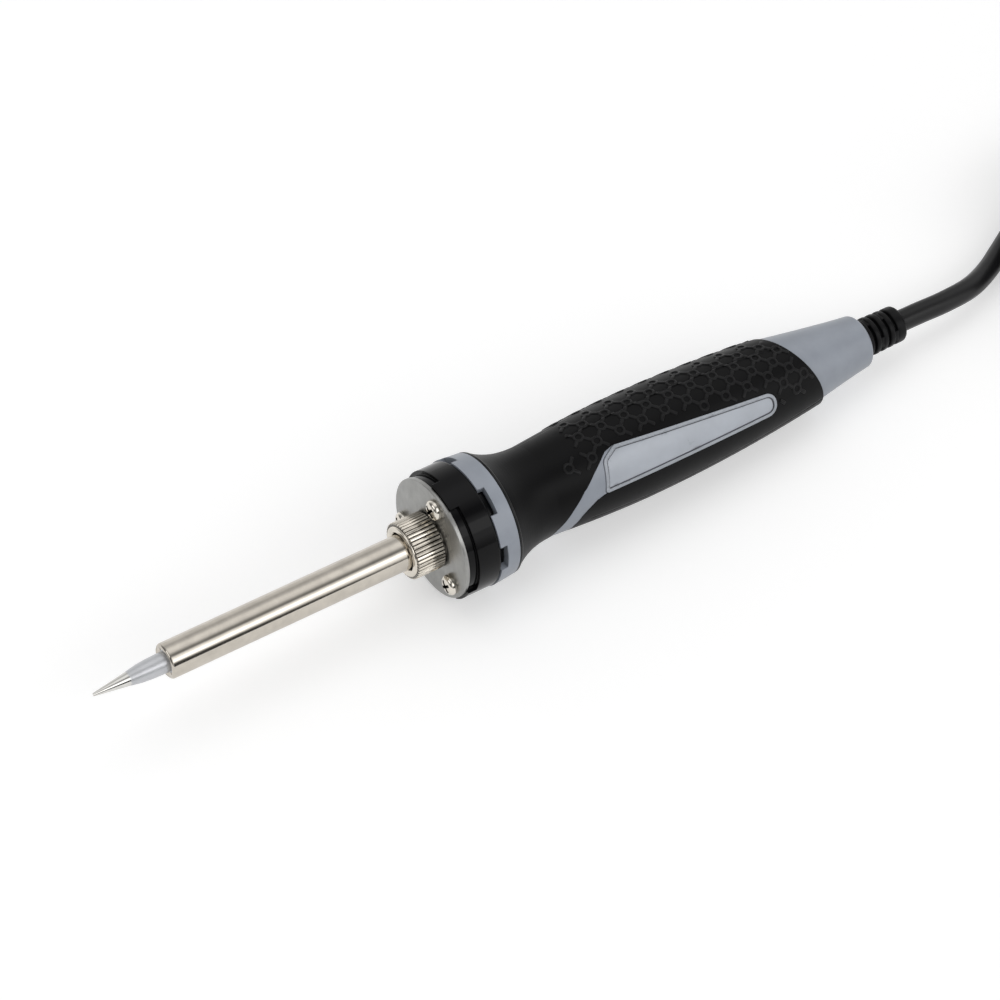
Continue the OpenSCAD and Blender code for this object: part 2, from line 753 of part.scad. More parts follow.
// A core of the cord from the sheath's end to its terminal
module core(y, start) laid_down() swept([
    [inner_cord_x - fit_gap, start[0], start[1]],
    [inner_cord_x - 5, start[0] * 1.3, start[1] * 1.3],
    [block_end + 5, y, 0],
    [block_end - 6, y, 0]
], core_d);

module live_core() color("#6e3b1e") core(-terminal_pitch, [-1.2, -0.7]);
module neutral_core() color("#2a5fb0") core(terminal_pitch, [1.2, -0.7]);
module earth_core() color("#7a9a2e") core(0, [0, 1.4]);

module cord_clamp() color("#2b2b2b") laid_down() difference() {
    translate([clamp_x, -clamp_w / 2, carrier_top]) cube([clamp_l, clamp_w, clamp_h - carrier_top]);
    rod(clamp_x - cut, clamp_x + clamp_l + cut, cord_d + 2 * fit_gap);
    translate([clamp_x - cut, -cord_d / 2 - fit_gap, carrier_top - cut])
        cube([clamp_l + 2 * cut, cord_d + 2 * fit_gap, -carrier_top + cut]);
    for (y = [-clamp_screw_y, clamp_screw_y]) translate([clamp_x + clamp_l / 2, y, 0]) {
        translate([0, 0, -reach]) cylinder(h = 2 * reach, d = clamp_screw_d + 2 * fit_gap);
        translate([0, 0, clamp_h - clamp_head_h]) cylinder(h = reach, d = clamp_head_d + 2 * fit_gap);
    }
}

module clamp_screws() color("#c9c9c4") laid_down()
    for (y = [-clamp_screw_y, clamp_screw_y]) translate([clamp_x + clamp_l / 2, y, 0]) difference() {
        foot = carrier_top - carrier_t;
        union() {
            translate([0, 0, foot]) cylinder(h = clamp_h - clamp_head_h - foot, d = clamp_screw_d);
            translate([0, 0, clamp_h - clamp_head_h]) cylinder(h = clamp_head_h, d = clamp_head_d);
        }
        translate([-reach, -0.3, clamp_h - 0.6]) cube([2 * reach, 0.6, reach]);
    }

// ---- Handle ----

// Everything of the handle that is moulded in the hard grey plastic, before its bores
module handle_core() {
    turned(concat(
        [[flange_x, 0], [flange_x, flange_d / 2], [flange_end, flange_rear_d / 2]],
        [[flange_end, grip_r(flange_end) - rubber_t]],
        grip_line(-rubber_t),
        [[grip_stop, 0]]
    ));
    intersection() {
        behind_rear_cut();
        turned(concat(
            [[grip_end_x - 4, 0]],
            [for (i = [0:line_steps]) let (x = grip_end_x - 4 + (tail_x - tail_edge - grip_end_x + 4)
                * i / line_steps) [x, tail_r(x)]],
            arc(tail_x - tail_edge, tail_r(tail_x - tail_edge) - tail_edge, tail_edge, 90, 0),
            [[tail_x, 0]]
        ));
    }
}

module both_sides() {
    children();
    other_side() children();
}
module label_windows(room = 0) both_sides() at_angle(label_angle)
    through_side(rounded(inset(label_outline, -room), label_radii), 6 - room);
module band_windows() {
    both_sides() {
        at_angle(band_angle) through_side(band_outline, 1);
        at_angle(label_angle) through_side(band_top_outline, 4);
    }
    at_angle(label_angle - 90) through_side(bridge_outline, 5);
}

// What shows through the rubber: the bare bands, and the seats that the label plates sink into.
// The seats are a little wider than the windows, so that no two cuts share a wall
module window_pads() difference() {
    intersection() {
        grip_skin(-rubber_t - pad_sink, band_rise);
        union() {
            band_windows();
            label_windows();
        }
    }
    intersection() {
        grip_skin(-label_t - fit_gap, cut);
        label_windows(seat_room);
    }
}

module handle_body() color("#a5aab4") laid_down() difference() {
    union() {
        handle_core();
        window_pads();
    }
    rod(flange_x - cut, flange_end, 2 * (screw_circle_d / 2 - boss_r));
    rod(flange_end - cut, rear_bore_x(), bore_d);
    rod(rear_bore_x() - cut, neck_bore_x(), tail_bore_d);
    rod(neck_bore_x() - cut, tail_x + cut, relief_neck_d() + 2 * fit_gap);
    for (a = vent_angles) at_angle(a) difference() {
        wedge(flange_x - cut, flange_x + vent_l, vent_angle);
        rod(flange_x - 2 * cut, flange_x + vent_l + cut, shield_bore_d);
    }
    for (a = screw_angles) at_angle(a) translate([0, -screw_circle_d / 2, 0])
        rod(flange_x - cut, screw_l + 0.5, screw_d + 2 * fit_gap);
}
function rear_bore_x() = grip_end_x - 4.4;
function neck_bore_x() = tail_x - 5;
function relief_neck_d() = cord_d + 2.1;

module grip_sleeve() color("#1c1c1c") laid_down() difference() {
    turned(concat(
        [[flange_end, grip_r(flange_end) - rubber_t], [flange_end, grip_lip_d / 2]],
        grip_line(0),
        reversed(grip_line(-rubber_t))
    ));
    behind_rear_cut();
    label_windows();
    band_windows();
}

module label_plate() difference() {
    intersection() {
        grip_skin(-label_t, 0.1);
        at_angle(label_angle) through_side(rounded(inset(label_outline, fit_gap), label_radii), 6);
    }
    intersection() {
        grip_skin(0.1 - label_sink, cut);
        at_angle(label_angle) through_side(rounded(
            inset(label_outline, label_border),
            [for (r = label_radii) max(r - label_border, 0.3)]
        ), 7);
    }
}

module label_plate_left() color("#c2c6cc") laid_down() label_plate();
module label_plate_right() color("#c2c6cc") laid_down() other_side() label_plate();

// ---- Strain relief and cord ----

module strain_relief() color("#1a1a1a") laid_down() {
    neck_r = relief_neck_d() / 2;
    edge = 1;
    bore_r = cord_d / 2 + fit_gap;
    slot_pitch = relief_l / (relief_slots + 0.6);
    slot_w = slot_pitch * 0.42;
    difference() {
        turned(concat(
            [
                [neck_bore_x() - 1.6, bore_r],
                [neck_bore_x() - 1.6, tail_bore_d / 2 - 0.4],
                [neck_bore_x(), tail_bore_d / 2 - 0.4],
                [neck_bore_x(), neck_r],
                [relief_x, neck_r],
                [relief_x, relief_d / 2]
            ],
            arc(relief_end - edge, relief_end_d / 2 - edge, edge, 90, 0),
            [[relief_end, bore_r]]
        ));
        for (i = [1:relief_slots]) {
            x = relief_x + slot_pitch * (i - 0.1);
            difference() {
                rod(x - slot_w / 2, x + slot_w / 2, relief_d + 2 * cut);
                rod(x - slot_w, x + slot_w, relief_d - 2 * relief_slot_depth);
                for (half = [0, 180]) at_angle(12 + 90 * (i % 2) + half)
                    wedge(x - slot_w, x + slot_w, 44);
            }
        }
    }
}

module inner_cord() color("#202020") laid_down() rod(inner_cord_x, relief_end, cord_d);

module cord_lead() color("#202020") swept(
    concat([laid([relief_end, 0, 0]), laid([relief_end + lead_straight_l, 0, 0])], lead_route), cord_d, 12);

// Outline of a hank of runs with round ends
module stadium(r, h) {
    translate([hank_x, -r, 0]) cube([hank_run_l, 2 * r, h]);
    for (x = [hank_x, hank_x + hank_run_l]) translate([x, 0, 0]) cylinder(h = h, r = r);
}

module cord_hank() color("#202020") difference() {
    stadium(hank_outer_r, hank_h);
    translate([0, 0, -cut]) stadium(hank_inner_r, hank_h + 2 * cut);
    translate([tie_x, -reach, -cut]) cube([tie_w, 2 * reach, cut + tie_t]);
}

// The last half turn climbs onto the hank behind its rear fold and goes round the front one
last_turn = [
    [hank_x + hank_run_l, -last_turn_r, last_turn_z - cord_d],
    [hank_x + hank_run_l - 8, -last_turn_r, last_turn_z - 0.85 * cord_d],
    [hank_x + hank_run_l - 16, -last_turn_r, last_turn_z - 0.45 * cord_d],
    [hank_x + hank_run_l - 24, -last_turn_r, last_turn_z - 0.1 * cord_d],
    for (i = [0:3]) [hank_x + (hank_run_l - 32) * (1 - i / 4), -last_turn_r, last_turn_z],
    for (i = [0:6]) [
        hank_x - last_turn_r * sin(30 * i), -last_turn_r * cos(30 * i), last_turn_z
    ]
];
module cord_tail() color("#202020") swept(concat(last_turn, tail_route), cord_d, 12);

module cord_tie() color("#303030") difference() {
    w = hank_outer_r + fit_gap;
    translate([tie_x, -w - tie_t, 0]) cube([tie_w, 2 * (w + tie_t), tie_h + tie_t]);
    translate([tie_x - cut, -w, tie_t]) cube([tie_w + 2 * cut, 2 * w, tie_h - tie_t]);
}

// ---- Mains plug ----

module plug_body() color("#1e1e1e") difference() {
    union() {
        translate([plug_x, 0, plug_back_z]) rotate_extrude() polygon(concat(
            [[0, 0]],
            [for (p = arc(plug_d / 2 - 2, 2, 2, -90, 0)) p],
            [[plug_d / 2, plug_h - 0.6], [plug_d / 2 - 0.6, plug_h], [0, plug_h]]
        ));
        translate([0, 0, plug_entry[2]])
            rod(plug_entry[0] + plug_sleeve_l, plug_x, 2 * plug_nose_r);
    }
    for (side = [-1, 1]) translate([
        plug_x + side * (plug_d / 2 - plug_groove_t) - (side < 0 ? reach : 0),
        -plug_groove_w / 2,
        plug_face_z - plug_groove_h
    ]) cube([reach, plug_groove_w, reach]);
    translate([plug_x + earth_hole_x, earth_hole_y, plug_face_z - earth_hole_l])
        cylinder(h = reach, d = earth_hole_d);
    for (side = [-1, 1]) translate([plug_x, side * pin_pitch / 2, plug_face_z - pin_root_l])
        cylinder(h = reach, d = pin_root_d + 2 * fit_gap);
    translate([0, 0, plug_entry[2]])
        rod(plug_entry[0] + plug_sleeve_l - cut, plug_entry[0] + plug_sleeve_l + 4, cord_d + 1);
}

module plug_sleeve() color("#1e1e1e") translate([0, 0, plug_entry[2]]) {
    x0 = plug_entry[0];
    x1 = x0 + plug_sleeve_l;
    difference() {
        union() {
            turned([[x0, 0], [x0, cord_d / 2 + 0.8], [x1, plug_nose_r - 0.4], [x1, 0]]);
            rod(x1, x1 + 3.9, cord_d + 1 - 2 * fit_gap);
        }
        rod(x0 - cut, x0 + 0.01, cord_d);
    }
}

module plug_pins() color("#c9c9c4") for (side = [-1, 1])
    translate([plug_x, side * pin_pitch / 2, plug_face_z]) {
        translate([0, 0, -pin_root_l]) cylinder(h = pin_root_l + cut, d = pin_root_d);
        cylinder(h = pin_l - pin_d / 2, d = pin_d);
        translate([0, 0, pin_l - pin_d / 2]) sphere(d = pin_d);
    }

module plug_earth_clips() color("#c9a86a") for (side = [-1, 1])
    translate([
        plug_x + side * (plug_d / 2 - plug_groove_t + fit_gap + clip_t / 2) - clip_t / 2,
        -clip_w / 2,
        plug_face_z - plug_groove_h + fit_gap
    ]) cube([clip_t, clip_w, plug_groove_h - 1.5]);

soldering_tip();
barrel_tube();
barrel_nut();
barrel_socket();
ceramic_heater();
heater_collar();
flange_plate();
plate_screws();
heat_shield_ring();
earth_tag();
earth_wire();
heater_leads();
lead_sleeves();
terminal_block();
terminal_screws();
wiring_carrier();
live_core();
neutral_core();
earth_core();
cord_clamp();
clamp_screws();
handle_body();
grip_sleeve();
label_plate_left();
label_plate_right();
strain_relief();
inner_cord();
cord_lead();
cord_hank();
cord_tail();
cord_tie();
plug_body();
plug_sleeve();
plug_pins();
plug_earth_clips();
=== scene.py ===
import json
import math

import bpy
from mathutils import Matrix, Vector
from mathutils.bvhtree import BVHTree


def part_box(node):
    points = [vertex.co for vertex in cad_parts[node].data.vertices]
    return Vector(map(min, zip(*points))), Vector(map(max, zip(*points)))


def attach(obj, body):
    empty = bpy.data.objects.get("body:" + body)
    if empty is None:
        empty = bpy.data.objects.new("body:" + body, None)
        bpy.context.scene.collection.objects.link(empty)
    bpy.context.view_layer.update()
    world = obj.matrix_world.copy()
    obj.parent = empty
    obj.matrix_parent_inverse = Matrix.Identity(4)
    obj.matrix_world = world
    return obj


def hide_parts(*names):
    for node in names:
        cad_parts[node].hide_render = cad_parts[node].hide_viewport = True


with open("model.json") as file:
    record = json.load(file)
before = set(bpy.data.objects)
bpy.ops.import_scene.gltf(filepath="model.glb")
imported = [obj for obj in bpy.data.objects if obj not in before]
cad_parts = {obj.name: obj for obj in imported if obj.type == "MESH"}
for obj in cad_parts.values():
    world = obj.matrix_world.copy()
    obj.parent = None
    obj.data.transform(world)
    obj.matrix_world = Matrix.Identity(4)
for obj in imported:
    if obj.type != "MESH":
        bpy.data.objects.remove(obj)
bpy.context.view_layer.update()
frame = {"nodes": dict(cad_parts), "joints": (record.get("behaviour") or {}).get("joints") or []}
MM = 0.001

# ---- Where the iron lies: its own axis runs back from the plate's front face ----

nut_joint = next(j for j in frame["joints"] if j["name"] == "nut_turn")
AXIS = -Vector(nut_joint["axis"]).normalized()
SIDE = Vector((0, 1, 0))
RISE = AXIS.cross(SIDE)
JOINT_X = -4 * MM          # the joint's place on the iron's axis
LABEL_ANGLE = 39           # where the left label plate sits, from the left side over the top
TOP_ANGLE = LABEL_ANGLE + 90        # midway between the two label plates, over the top
PATTERN_FRONT = 40.7       # where the grip's pattern begins, in millimetres on the iron's axis
SIDE_SEAM = 7.3            # from the top line to the mould's next line
POINT_L = 9.6              # the bright cone of the tip, in front of its dull shank
LAID = Matrix.Translation(Vector(nut_joint["pos_m"]) - AXIS * JOINT_X) @ Matrix(
    (AXIS, SIDE, RISE)).transposed().to_4x4()
UPRIGHT = LAID.inverted()


def span(node):
    """First and last place on the iron's axis that a CAD node reaches, and its largest radius."""
    points = [UPRIGHT @ v.co for v in frame["nodes"][node].data.vertices]
    return (min(p.x for p in points), max(p.x for p in points),
            max(math.hypot(p.y, p.z) for p in points))


# ---- Finishes ----

def finish(name, colour, roughness, metallic=0.0, **sockets):
    """A material whose shader holds its plain values; the detail is linked in afterwards."""
    mat = bpy.data.materials.new(name)
    mat.use_nodes = True
    shader = mat.node_tree.nodes["Principled BSDF"]
    shader.inputs["Base Color"].default_value = (*colour, 1)
    shader.inputs["Roughness"].default_value = roughness
    shader.inputs["Metallic"].default_value = metallic
    for socket, value in sockets.items():
        shader.inputs[socket.replace("_", " ")].default_value = value
    return mat


def node(mat, kind, inputs=(), **settings):
    """A new node of a material or the world; each input is a value or another node's output."""
    made = mat.node_tree.nodes.new("ShaderNode" + kind)
    for name, value in settings.items():
        setattr(made, name, value)
    for name, value in dict(inputs).items():
        if isinstance(value, bpy.types.NodeSocket):
            mat.node_tree.links.new(value, made.inputs[name])
        else:
            made.inputs[name].default_value = value
    return made


def along_iron(mat, stretch=(1, 1, 1)):
    """Coordinates in metres along the iron's own axis, stretched or squeezed for a directed grain."""
    place = node(mat, "TexCoord").outputs["Object"]
    laid = node(mat, "Mapping", {
        "Vector": place,
        "Location": LAID.to_translation(),
        "Rotation": LAID.to_euler(),
    }, vector_type="TEXTURE").outputs[0]
    return node(mat, "Mapping", {"Vector": laid, "Scale": stretch}).outputs[0]


def shader_of(mat):
    return mat.node_tree.nodes["Principled BSDF"]


def link(mat, output, socket):
    mat.node_tree.links.new(output, shader_of(mat).inputs[socket])


CLOUD_LOW, CLOUD_HIGH = 0.3, 0.7     # nearly all of the noise lies between these


def noise(mat, place, size, detail=3.0):
    """Cloudy variation with lumps of a size in metres."""
    return node(mat, "TexNoise", {
        "Vector": place, "Scale": 1 / size, "Detail": detail, "Roughness": 0.6,
    }).outputs["Fac"]


def ranged(mat, value, low, high):
    return node(mat, "MapRange", {
        "Value": value, "From Min": CLOUD_LOW, "From Max": CLOUD_HIGH,
        "To Min": low, "To Max": high,
    }).outputs[0]


def shaded(mat, value, dark, light):
    """Colour that varies between a darker and a lighter shade of the same."""
    colour = shader_of(mat).inputs["Base Color"].default_value[:3]
    ramp = node(mat, "ValToRGB", {"Fac": value})
    ramp.color_ramp.elements[0].position = CLOUD_LOW
    ramp.color_ramp.elements[1].position = CLOUD_HIGH
    ramp.color_ramp.elements[0].color = (*(c * dark for c in colour), 1)
    ramp.color_ramp.elements[1].color = (*(min(1, c * light) for c in colour), 1)
    link(mat, ramp.outputs["Color"], "Base Color")


def raised(mat, *heights, soft_edge):
    """Relief from several heights, each with its depth in metres, on edges eased by soft_edge."""
    normal = node(mat, "Bevel", {"Radius": soft_edge}, samples=4).outputs[0]
    for height, depth in heights:
        normal = node(mat, "Bump", {
            "Height": height, "Distance": depth, "Strength": 1.0, "Normal": normal}).outputs[0]
    link(mat, normal, "Normal")


def turned_metal(name, colour, roughness, line, depth, soft_edge=0.12 * MM):
    """Plated metal from the lathe: fine rings round the axis, and a little cloudiness."""
    mat = finish(name, colour, roughness, 1.0)
    lines = noise(mat, along_iron(mat, (1, 0.02, 0.02)), line, 2.0)
    cloud = noise(mat, along_iron(mat), 0.004)
    shaded(mat, cloud, 0.9, 1.06)
    both = node(mat, "Math", {0: lines, 1: cloud}, operation="MULTIPLY").outputs[0]
    link(mat, node(mat, "MapRange", {
        "Value": both, "From Min": 0.1, "From Max": 0.45,
        "To Min": roughness * 0.75, "To Max": roughness * 1.35}).outputs[0], "Roughness")
    raised(mat, (lines, depth), soft_edge=soft_edge)
    return mat


def moulded(name, colour, roughness, grain, depth, seam=0.0, **sockets):
    """Moulded plastic or rubber: a fine spark-eroded grain and slightly uneven gloss.

    seam is the depth of the mould's parting lines, on the pieces that show them.
    """
    mat = finish(name, colour, roughness, 0.0, **sockets)
    place = along_iron(mat)
    fine = noise(mat, place, grain, 4.0)
    broad = noise(mat, place, 0.009)
    shaded(mat, broad, 0.93, 1.06)
    link(mat, ranged(mat, broad, roughness * 0.88, roughness * 1.12), "Roughness")
    heights = [(fine, depth), (broad, depth * 4)]
    if seam:
        heights.append((parting_line(mat, place), seam))
    raised(mat, *heights, soft_edge=0.25 * MM)
    return mat


def parting_line(mat, place):
    """Height of the grooves where the mould's parts met: along the top, and beside the top pattern."""
    turned = node(mat, "Mapping", {
        "Vector": place, "Rotation": (math.radians(TOP_ANGLE - 90), 0, 0)}).outputs[0]
    parts = node(mat, "SeparateXYZ", {0: turned})
    aside = node(mat, "Math", {0: parts.outputs["Y"]}, operation="ABSOLUTE").outputs[0]
    from_side_line = node(mat, "Math", {
        0: node(mat, "Math", {0: aside, 1: SIDE_SEAM * MM}, operation="SUBTRACT").outputs[0]},
        operation="ABSOLUTE").outputs[0]
    in_front = node(mat, "Math", {
        0: parts.outputs["X"], 1: PATTERN_FRONT * MM}, operation="LESS_THAN").outputs[0]
    side = node(mat, "Math", {
        0: groove(mat, from_side_line), 1: in_front}, operation="MAXIMUM").outputs[0]
    return node(mat, "Math", {0: groove(mat, aside), 1: side}, operation="MINIMUM").outputs[0]


def groove(mat, distance):
    """0 on the floor of a parting line and 1 beside it, from the distance to its middle."""
    return node(mat, "MapRange", {
        "Value": distance, "From Min": 0.13 * MM, "From Max": 0.34 * MM, "To Min": 0, "To Max": 1,
    }).outputs[0]


GROOVE_SHADE = 0.22        # share of the light that reaches the bottom of a narrow groove


def painted_groove_shade(mat, start, low, high):
    """Painted shade: darker from one radius down to another, behind a place on the iron's axis."""
    place = along_iron(mat)
    across = node(mat, "VectorMath", {0: place, 1: (0, 1, 1)}, operation="MULTIPLY").outputs[0]
    out = node(mat, "VectorMath", {0: across}, operation="LENGTH").outputs["Value"]
    along = node(mat, "SeparateXYZ", {0: place}).outputs["X"]
    before = node(mat, "Math", {0: along, 1: start}, operation="LESS_THAN").outputs[0]
    depth = node(mat, "MapRange", {
        "Value": out, "From Min": low, "From Max": high,
        "To Min": GROOVE_SHADE, "To Max": 1}).outputs[0]
    depth = node(mat, "Math", {0: depth, 1: before}, operation="MAXIMUM").outputs[0]
    colour = shader_of(mat).inputs["Base Color"].links[0].from_socket
    link(mat, node(mat, "MixRGB", {
        "Fac": 1.0, "Color1": colour, "Color2": depth}, blend_type="MULTIPLY").outputs[0],
         "Base Color")


def brushed_sheet(name, colour, roughness):
    """Rolled and plated sheet steel: short fine scratches in one direction over a cloudy sheen."""
    mat = finish(name, colour, roughness, 1.0)
    scratch = noise(mat, along_iron(mat, (1, 1, 0.06)), 0.00022, 3.0)
    cloud = noise(mat, along_iron(mat), 0.0035)
    shaded(mat, cloud, 0.88, 1.07)
    link(mat, ranged(mat, scratch, roughness * 0.8, roughness * 1.25), "Roughness")
    raised(mat, (scratch, 0.00001), (cloud, 0.00002), soft_edge=0.0002)
    return mat


# Metals from the lathe: colour, roughness, spacing and depth of the tool's lines in metres.
# Mouldings: colour, roughness, size and depth of the grain in metres.
nickel = turned_metal("nickel plate", (0.56, 0.52, 0.46), 0.1, 0.0011, 0.000003)
nut_nickel = turned_metal("knurled nickel", (0.72, 0.67, 0.59), 0.16, 0.0004, 0.000002)
nut_start, _, nut_r = span("barrel_nut")
# Painted shade at the bottom of the grooves between the nut's ridges.
painted_groove_shade(nut_nickel, start=nut_start + 0.05 * MM,
                low=nut_r - 0.46 * MM, high=nut_r - 0.12 * MM)
# Painted shade: a dark steel for the nut's bore and the screws' cross recesses, where shade falls.
painted_shade_steel = turned_metal("shaded steel", (0.09, 0.08, 0.07), 0.3, 0.0004, 0.000004)
plate_steel = brushed_sheet("zinc plated sheet", (0.33, 0.33, 0.32), 0.34)
screw_steel = turned_metal("bright screws", (0.72, 0.68, 0.61), 0.07, 0.0004, 0.000003,
                           soft_edge=0.06 * MM)
shield_black = moulded("heat shield gloss", (0.003, 0.003, 0.0035), 0.08, 0.0012, 0.000002,
                       Specular_IOR_Level=0.14)
grey_plastic = moulded("grey moulding", (0.29, 0.315, 0.36), 0.36, 0.00025, 0.00001)
frame_plastic = moulded("label frame", (0.37, 0.395, 0.435), 0.32, 0.0002, 0.000006)
label_silver = moulded("silvery label", (0.45, 0.48, 0.53), 0.3, 0.0003, 0.000003)
# Painted shadow line on the step inside each label's frame.
painted_shadow_line = moulded("label shadow line", (0.09, 0.095, 0.11), 0.5, 0.0003, 0.00001)
grip_rubber = moulded("grip rubber", (0.0035, 0.0035, 0.0038), 0.4, 0.00035, 0.000012,
                      seam=0.0003, Specular_IOR_Level=0.1)
stud_rubber = moulded("grip pattern rubber", (0.007, 0.007, 0.0075), 0.38, 0.0003, 0.000008,
                      seam=0.0003, Specular_IOR_Level=0.17)
cord_black = moulded("cord sheath", (0.006, 0.006, 0.0065), 0.36, 0.0005, 0.000008,
                     Specular_IOR_Level=0.28)
lip_rubber = moulded("rolled rubber edge", (0.004, 0.004, 0.0045), 0.3, 0.0003, 0.000004,
                     Specular_IOR_Level=0.35)
relief_black = moulded("strain relief rubber", (0.0035, 0.0035, 0.004), 0.4, 0.0004, 0.00001,
                       Specular_IOR_Level=0.14)
plug_black = moulded("plug moulding", (0.006, 0.006, 0.0065), 0.36, 0.0003, 0.00001,
                     Specular_IOR_Level=0.28)
ceramic = moulded("glazed ceramic", (0.80, 0.77, 0.70), 0.2, 0.0008, 0.00001)
block_plastic = moulded("terminal block", (0.72, 0.70, 0.64), 0.4, 0.0004, 0.00001)
board = moulded("carrier board", (0.30, 0.18, 0.10), 0.5, 0.0003, 0.00002)
fibre = moulded("glass fibre sleeve", (0.78, 0.75, 0.68), 0.8, 0.0004, 0.00006)
brown = moulded("brown insulation", (0.20, 0.09, 0.04), 0.4, 0.0005, 0.00001)
blue = moulded("blue insulation", (0.04, 0.13, 0.40), 0.4, 0.0005, 0.00001)
green_yellow = moulded("green insulation", (0.32, 0.46, 0.05), 0.4, 0.0005, 0.00001)
brass = turned_metal("brass", (0.72, 0.53, 0.25), 0.25, 0.0005, 0.000005)


def plated_tip():
    """Bright plated cone in front of a grey, dull shank."""
    shank_x, blend = span("soldering_tip")[0] + POINT_L * MM, 0.2 * MM
    mat = finish("plated tip", (0.66, 0.65, 0.62), 0.09, 1.0)
    place = along_iron(mat)
    along = node(mat, "SeparateXYZ", {0: place}).outputs["X"]
    back = node(mat, "MapRange", {
        "Value": along, "From Min": shank_x - blend, "From Max": shank_x + blend,
        "To Min": 0, "To Max": 1,
    }).outputs[0]
    cloud = noise(mat, place, 0.002)
    bright = node(mat, "MixRGB", {
        "Fac": cloud, "Color1": (0.58, 0.57, 0.54, 1), "Color2": (0.74, 0.73, 0.70, 1)}).outputs[0]
    dull = node(mat, "MixRGB", {
        "Fac": cloud, "Color1": (0.52, 0.53, 0.55, 1), "Color2": (0.61, 0.62, 0.64, 1)}).outputs[0]
    link(mat, node(mat, "MixRGB", {"Fac": back, "Color1": bright, "Color2": dull}).outputs[0],
         "Base Color")
    link(mat, node(mat, "MapRange", {
        "Value": back, "To Min": 0.09, "To Max": 0.34}).outputs[0], "Roughness")
    link(mat, node(mat, "MapRange", {
        "Value": back, "To Min": 1.0, "To Max": 0.55}).outputs[0], "Metallic")
    rings = noise(mat, along_iron(mat, (1, 0.02, 0.02)), 0.0004, 2.0)
    raised(mat, (rings, 0.000003), soft_edge=0.0001)
    return mat


def woven_strap():
    """Hook-and-loop strap: a dull weave of short loops with a fuzzy sheen at the edges."""
    mat = finish("strap loops", (0.014, 0.014, 0.015), 0.85, 0.0, Sheen_Weight=0.3,
                 Sheen_Roughness=0.5)
    place = node(mat, "TexCoord").outputs["Object"]
    loops = node(mat, "TexVoronoi", {"Vector": place, "Scale": 1600.0}).outputs["Distance"]
    rows = node(mat, "TexWave", {
        "Vector": place, "Scale": 330.0, "Distortion": 1.5, "Detail": 2.0}).outputs["Fac"]
    shaded(mat, noise(mat, place, 0.003), 0.75, 1.35)
    raised(mat, (loops, 0.00012), (rows, 0.00006), soft_edge=0.0002)
    return mat


tip_plate = plated_tip()
tie_black = woven_strap()

DRESS = {
    tip_plate: ["soldering_tip"],
    nickel: ["barrel_tube", "barrel_socket", "heater_leads"],
    nut_nickel: ["barrel_nut"],
    plate_steel: ["flange_plate"],
    screw_steel: ["plate_screws", "clamp_screws", "plug_pins"],
    shield_black: ["heat_shield_ring"],
    grey_plastic: ["handle_body"],
    frame_plastic: ["label_plate_left", "label_plate_right"],
    grip_rubber: ["grip_sleeve"],
    cord_black: ["inner_cord", "plug_sleeve"],
    relief_black: ["strain_relief"],
    plug_black: ["plug_body", "cord_clamp"],
    tie_black: ["cord_tie"],
    ceramic: ["ceramic_heater", "heater_collar"],
    block_plastic: ["terminal_block"],
    board: ["wiring_carrier"],
    fibre: ["lead_sleeves"],
    brown: ["live_core"],
    blue: ["neutral_core"],
    green_yellow: ["earth_core", "earth_wire"],
    brass: ["earth_tag", "terminal_screws", "plug_earth_clips"],
}
for mat, names in DRESS.items():
    for name in names:
        slots = frame["nodes"][name].data.materials
        slots.clear()
        slots.append(mat)

# ---- Camera ----

AZIMUTH, ELEVATION, DISTANCE, LENS = math.radians(-33.80), math.radians(49.10), 1.0127, 143.24
toward = Vector((math.sin(AZIMUTH) * math.cos(ELEVATION),
                 -math.cos(AZIMUTH) * math.cos(ELEVATION), math.sin(ELEVATION)))
ROLL = math.radians(0.14)
sideways = (-toward).cross(Vector((0, 0, 1))).normalized()
right = sideways * math.cos(ROLL) + sideways.cross(-toward) * math.sin(ROLL)
up = right.cross(-toward)
AIM = (0.026447, 0, -0.0064085)        # near the front of the grip, a little below the axis
AIM_RIGHT, AIM_UP = -0.004307, 0.003858
target = LAID @ Vector(AIM) + right * AIM_RIGHT + up * AIM_UP
camera = bpy.data.objects.new("camera", bpy.data.cameras.new("camera"))
bpy.context.scene.collection.objects.link(camera)
camera.data.lens = LENS
camera.data.sensor_width = 36
camera.data.clip_start = 0.05
camera.matrix_world = Matrix.Translation(target + toward * DISTANCE) @ Matrix(
    (right, up, toward)).transposed().to_4x4()
bpy.context.scene.camera = camera

# ---- Cord: one length from the strain relief, folded in a hank, up into the plug ----

CORD_D = 6 * MM
HANK_X, RUN_L, INNER_R, OUTER_R = 196, 90, 18, 24
FLOOR_Z, SECOND_Z, TOP_Z = 3, 9, 15
TIE_X0, TIE_X1 = 197, 209
TIE_REACH = 16             # how far from the strap the turns begin to rise
TIE_INSIDE = 15            # nearer the middle than this the strap lifts nothing


def eased(t):
    t = max(0.0, min(1.0, t))
    return t * t * (3 - 2 * t)


def run(x0, x1, y, z, to_y=None, to_z=None, shift=(0, 1), steps=10):
    """A straight run of the hank; it may move sideways or climb between two shares of its length."""
    points = []
    for i in range(1, steps + 1):
        t = i / steps
        share = eased((t - shift[0]) / (shift[1] - shift[0]))
        points.append((x0 + (x1 - x0) * t,
                       y + ((y if to_y is None else to_y) - y) * share,
                       z + ((z if to_z is None else to_z) - z) * share))
    return points


def fold(x, side, r, z, to_r=None, shift=1.0, steps=12):
    """Half a turn round the hank's end: side 1 goes round the rear from +y to -y, side -1 the front."""
    points = []
    for i in range(1, steps + 1):
        t = i / steps
        radius = r + ((r if to_r is None else to_r) - r) * eased(t / shift)
        points.append((x + side * radius * math.sin(math.pi * t),
                       side * radius * math.cos(math.pi * t), z))
    return points


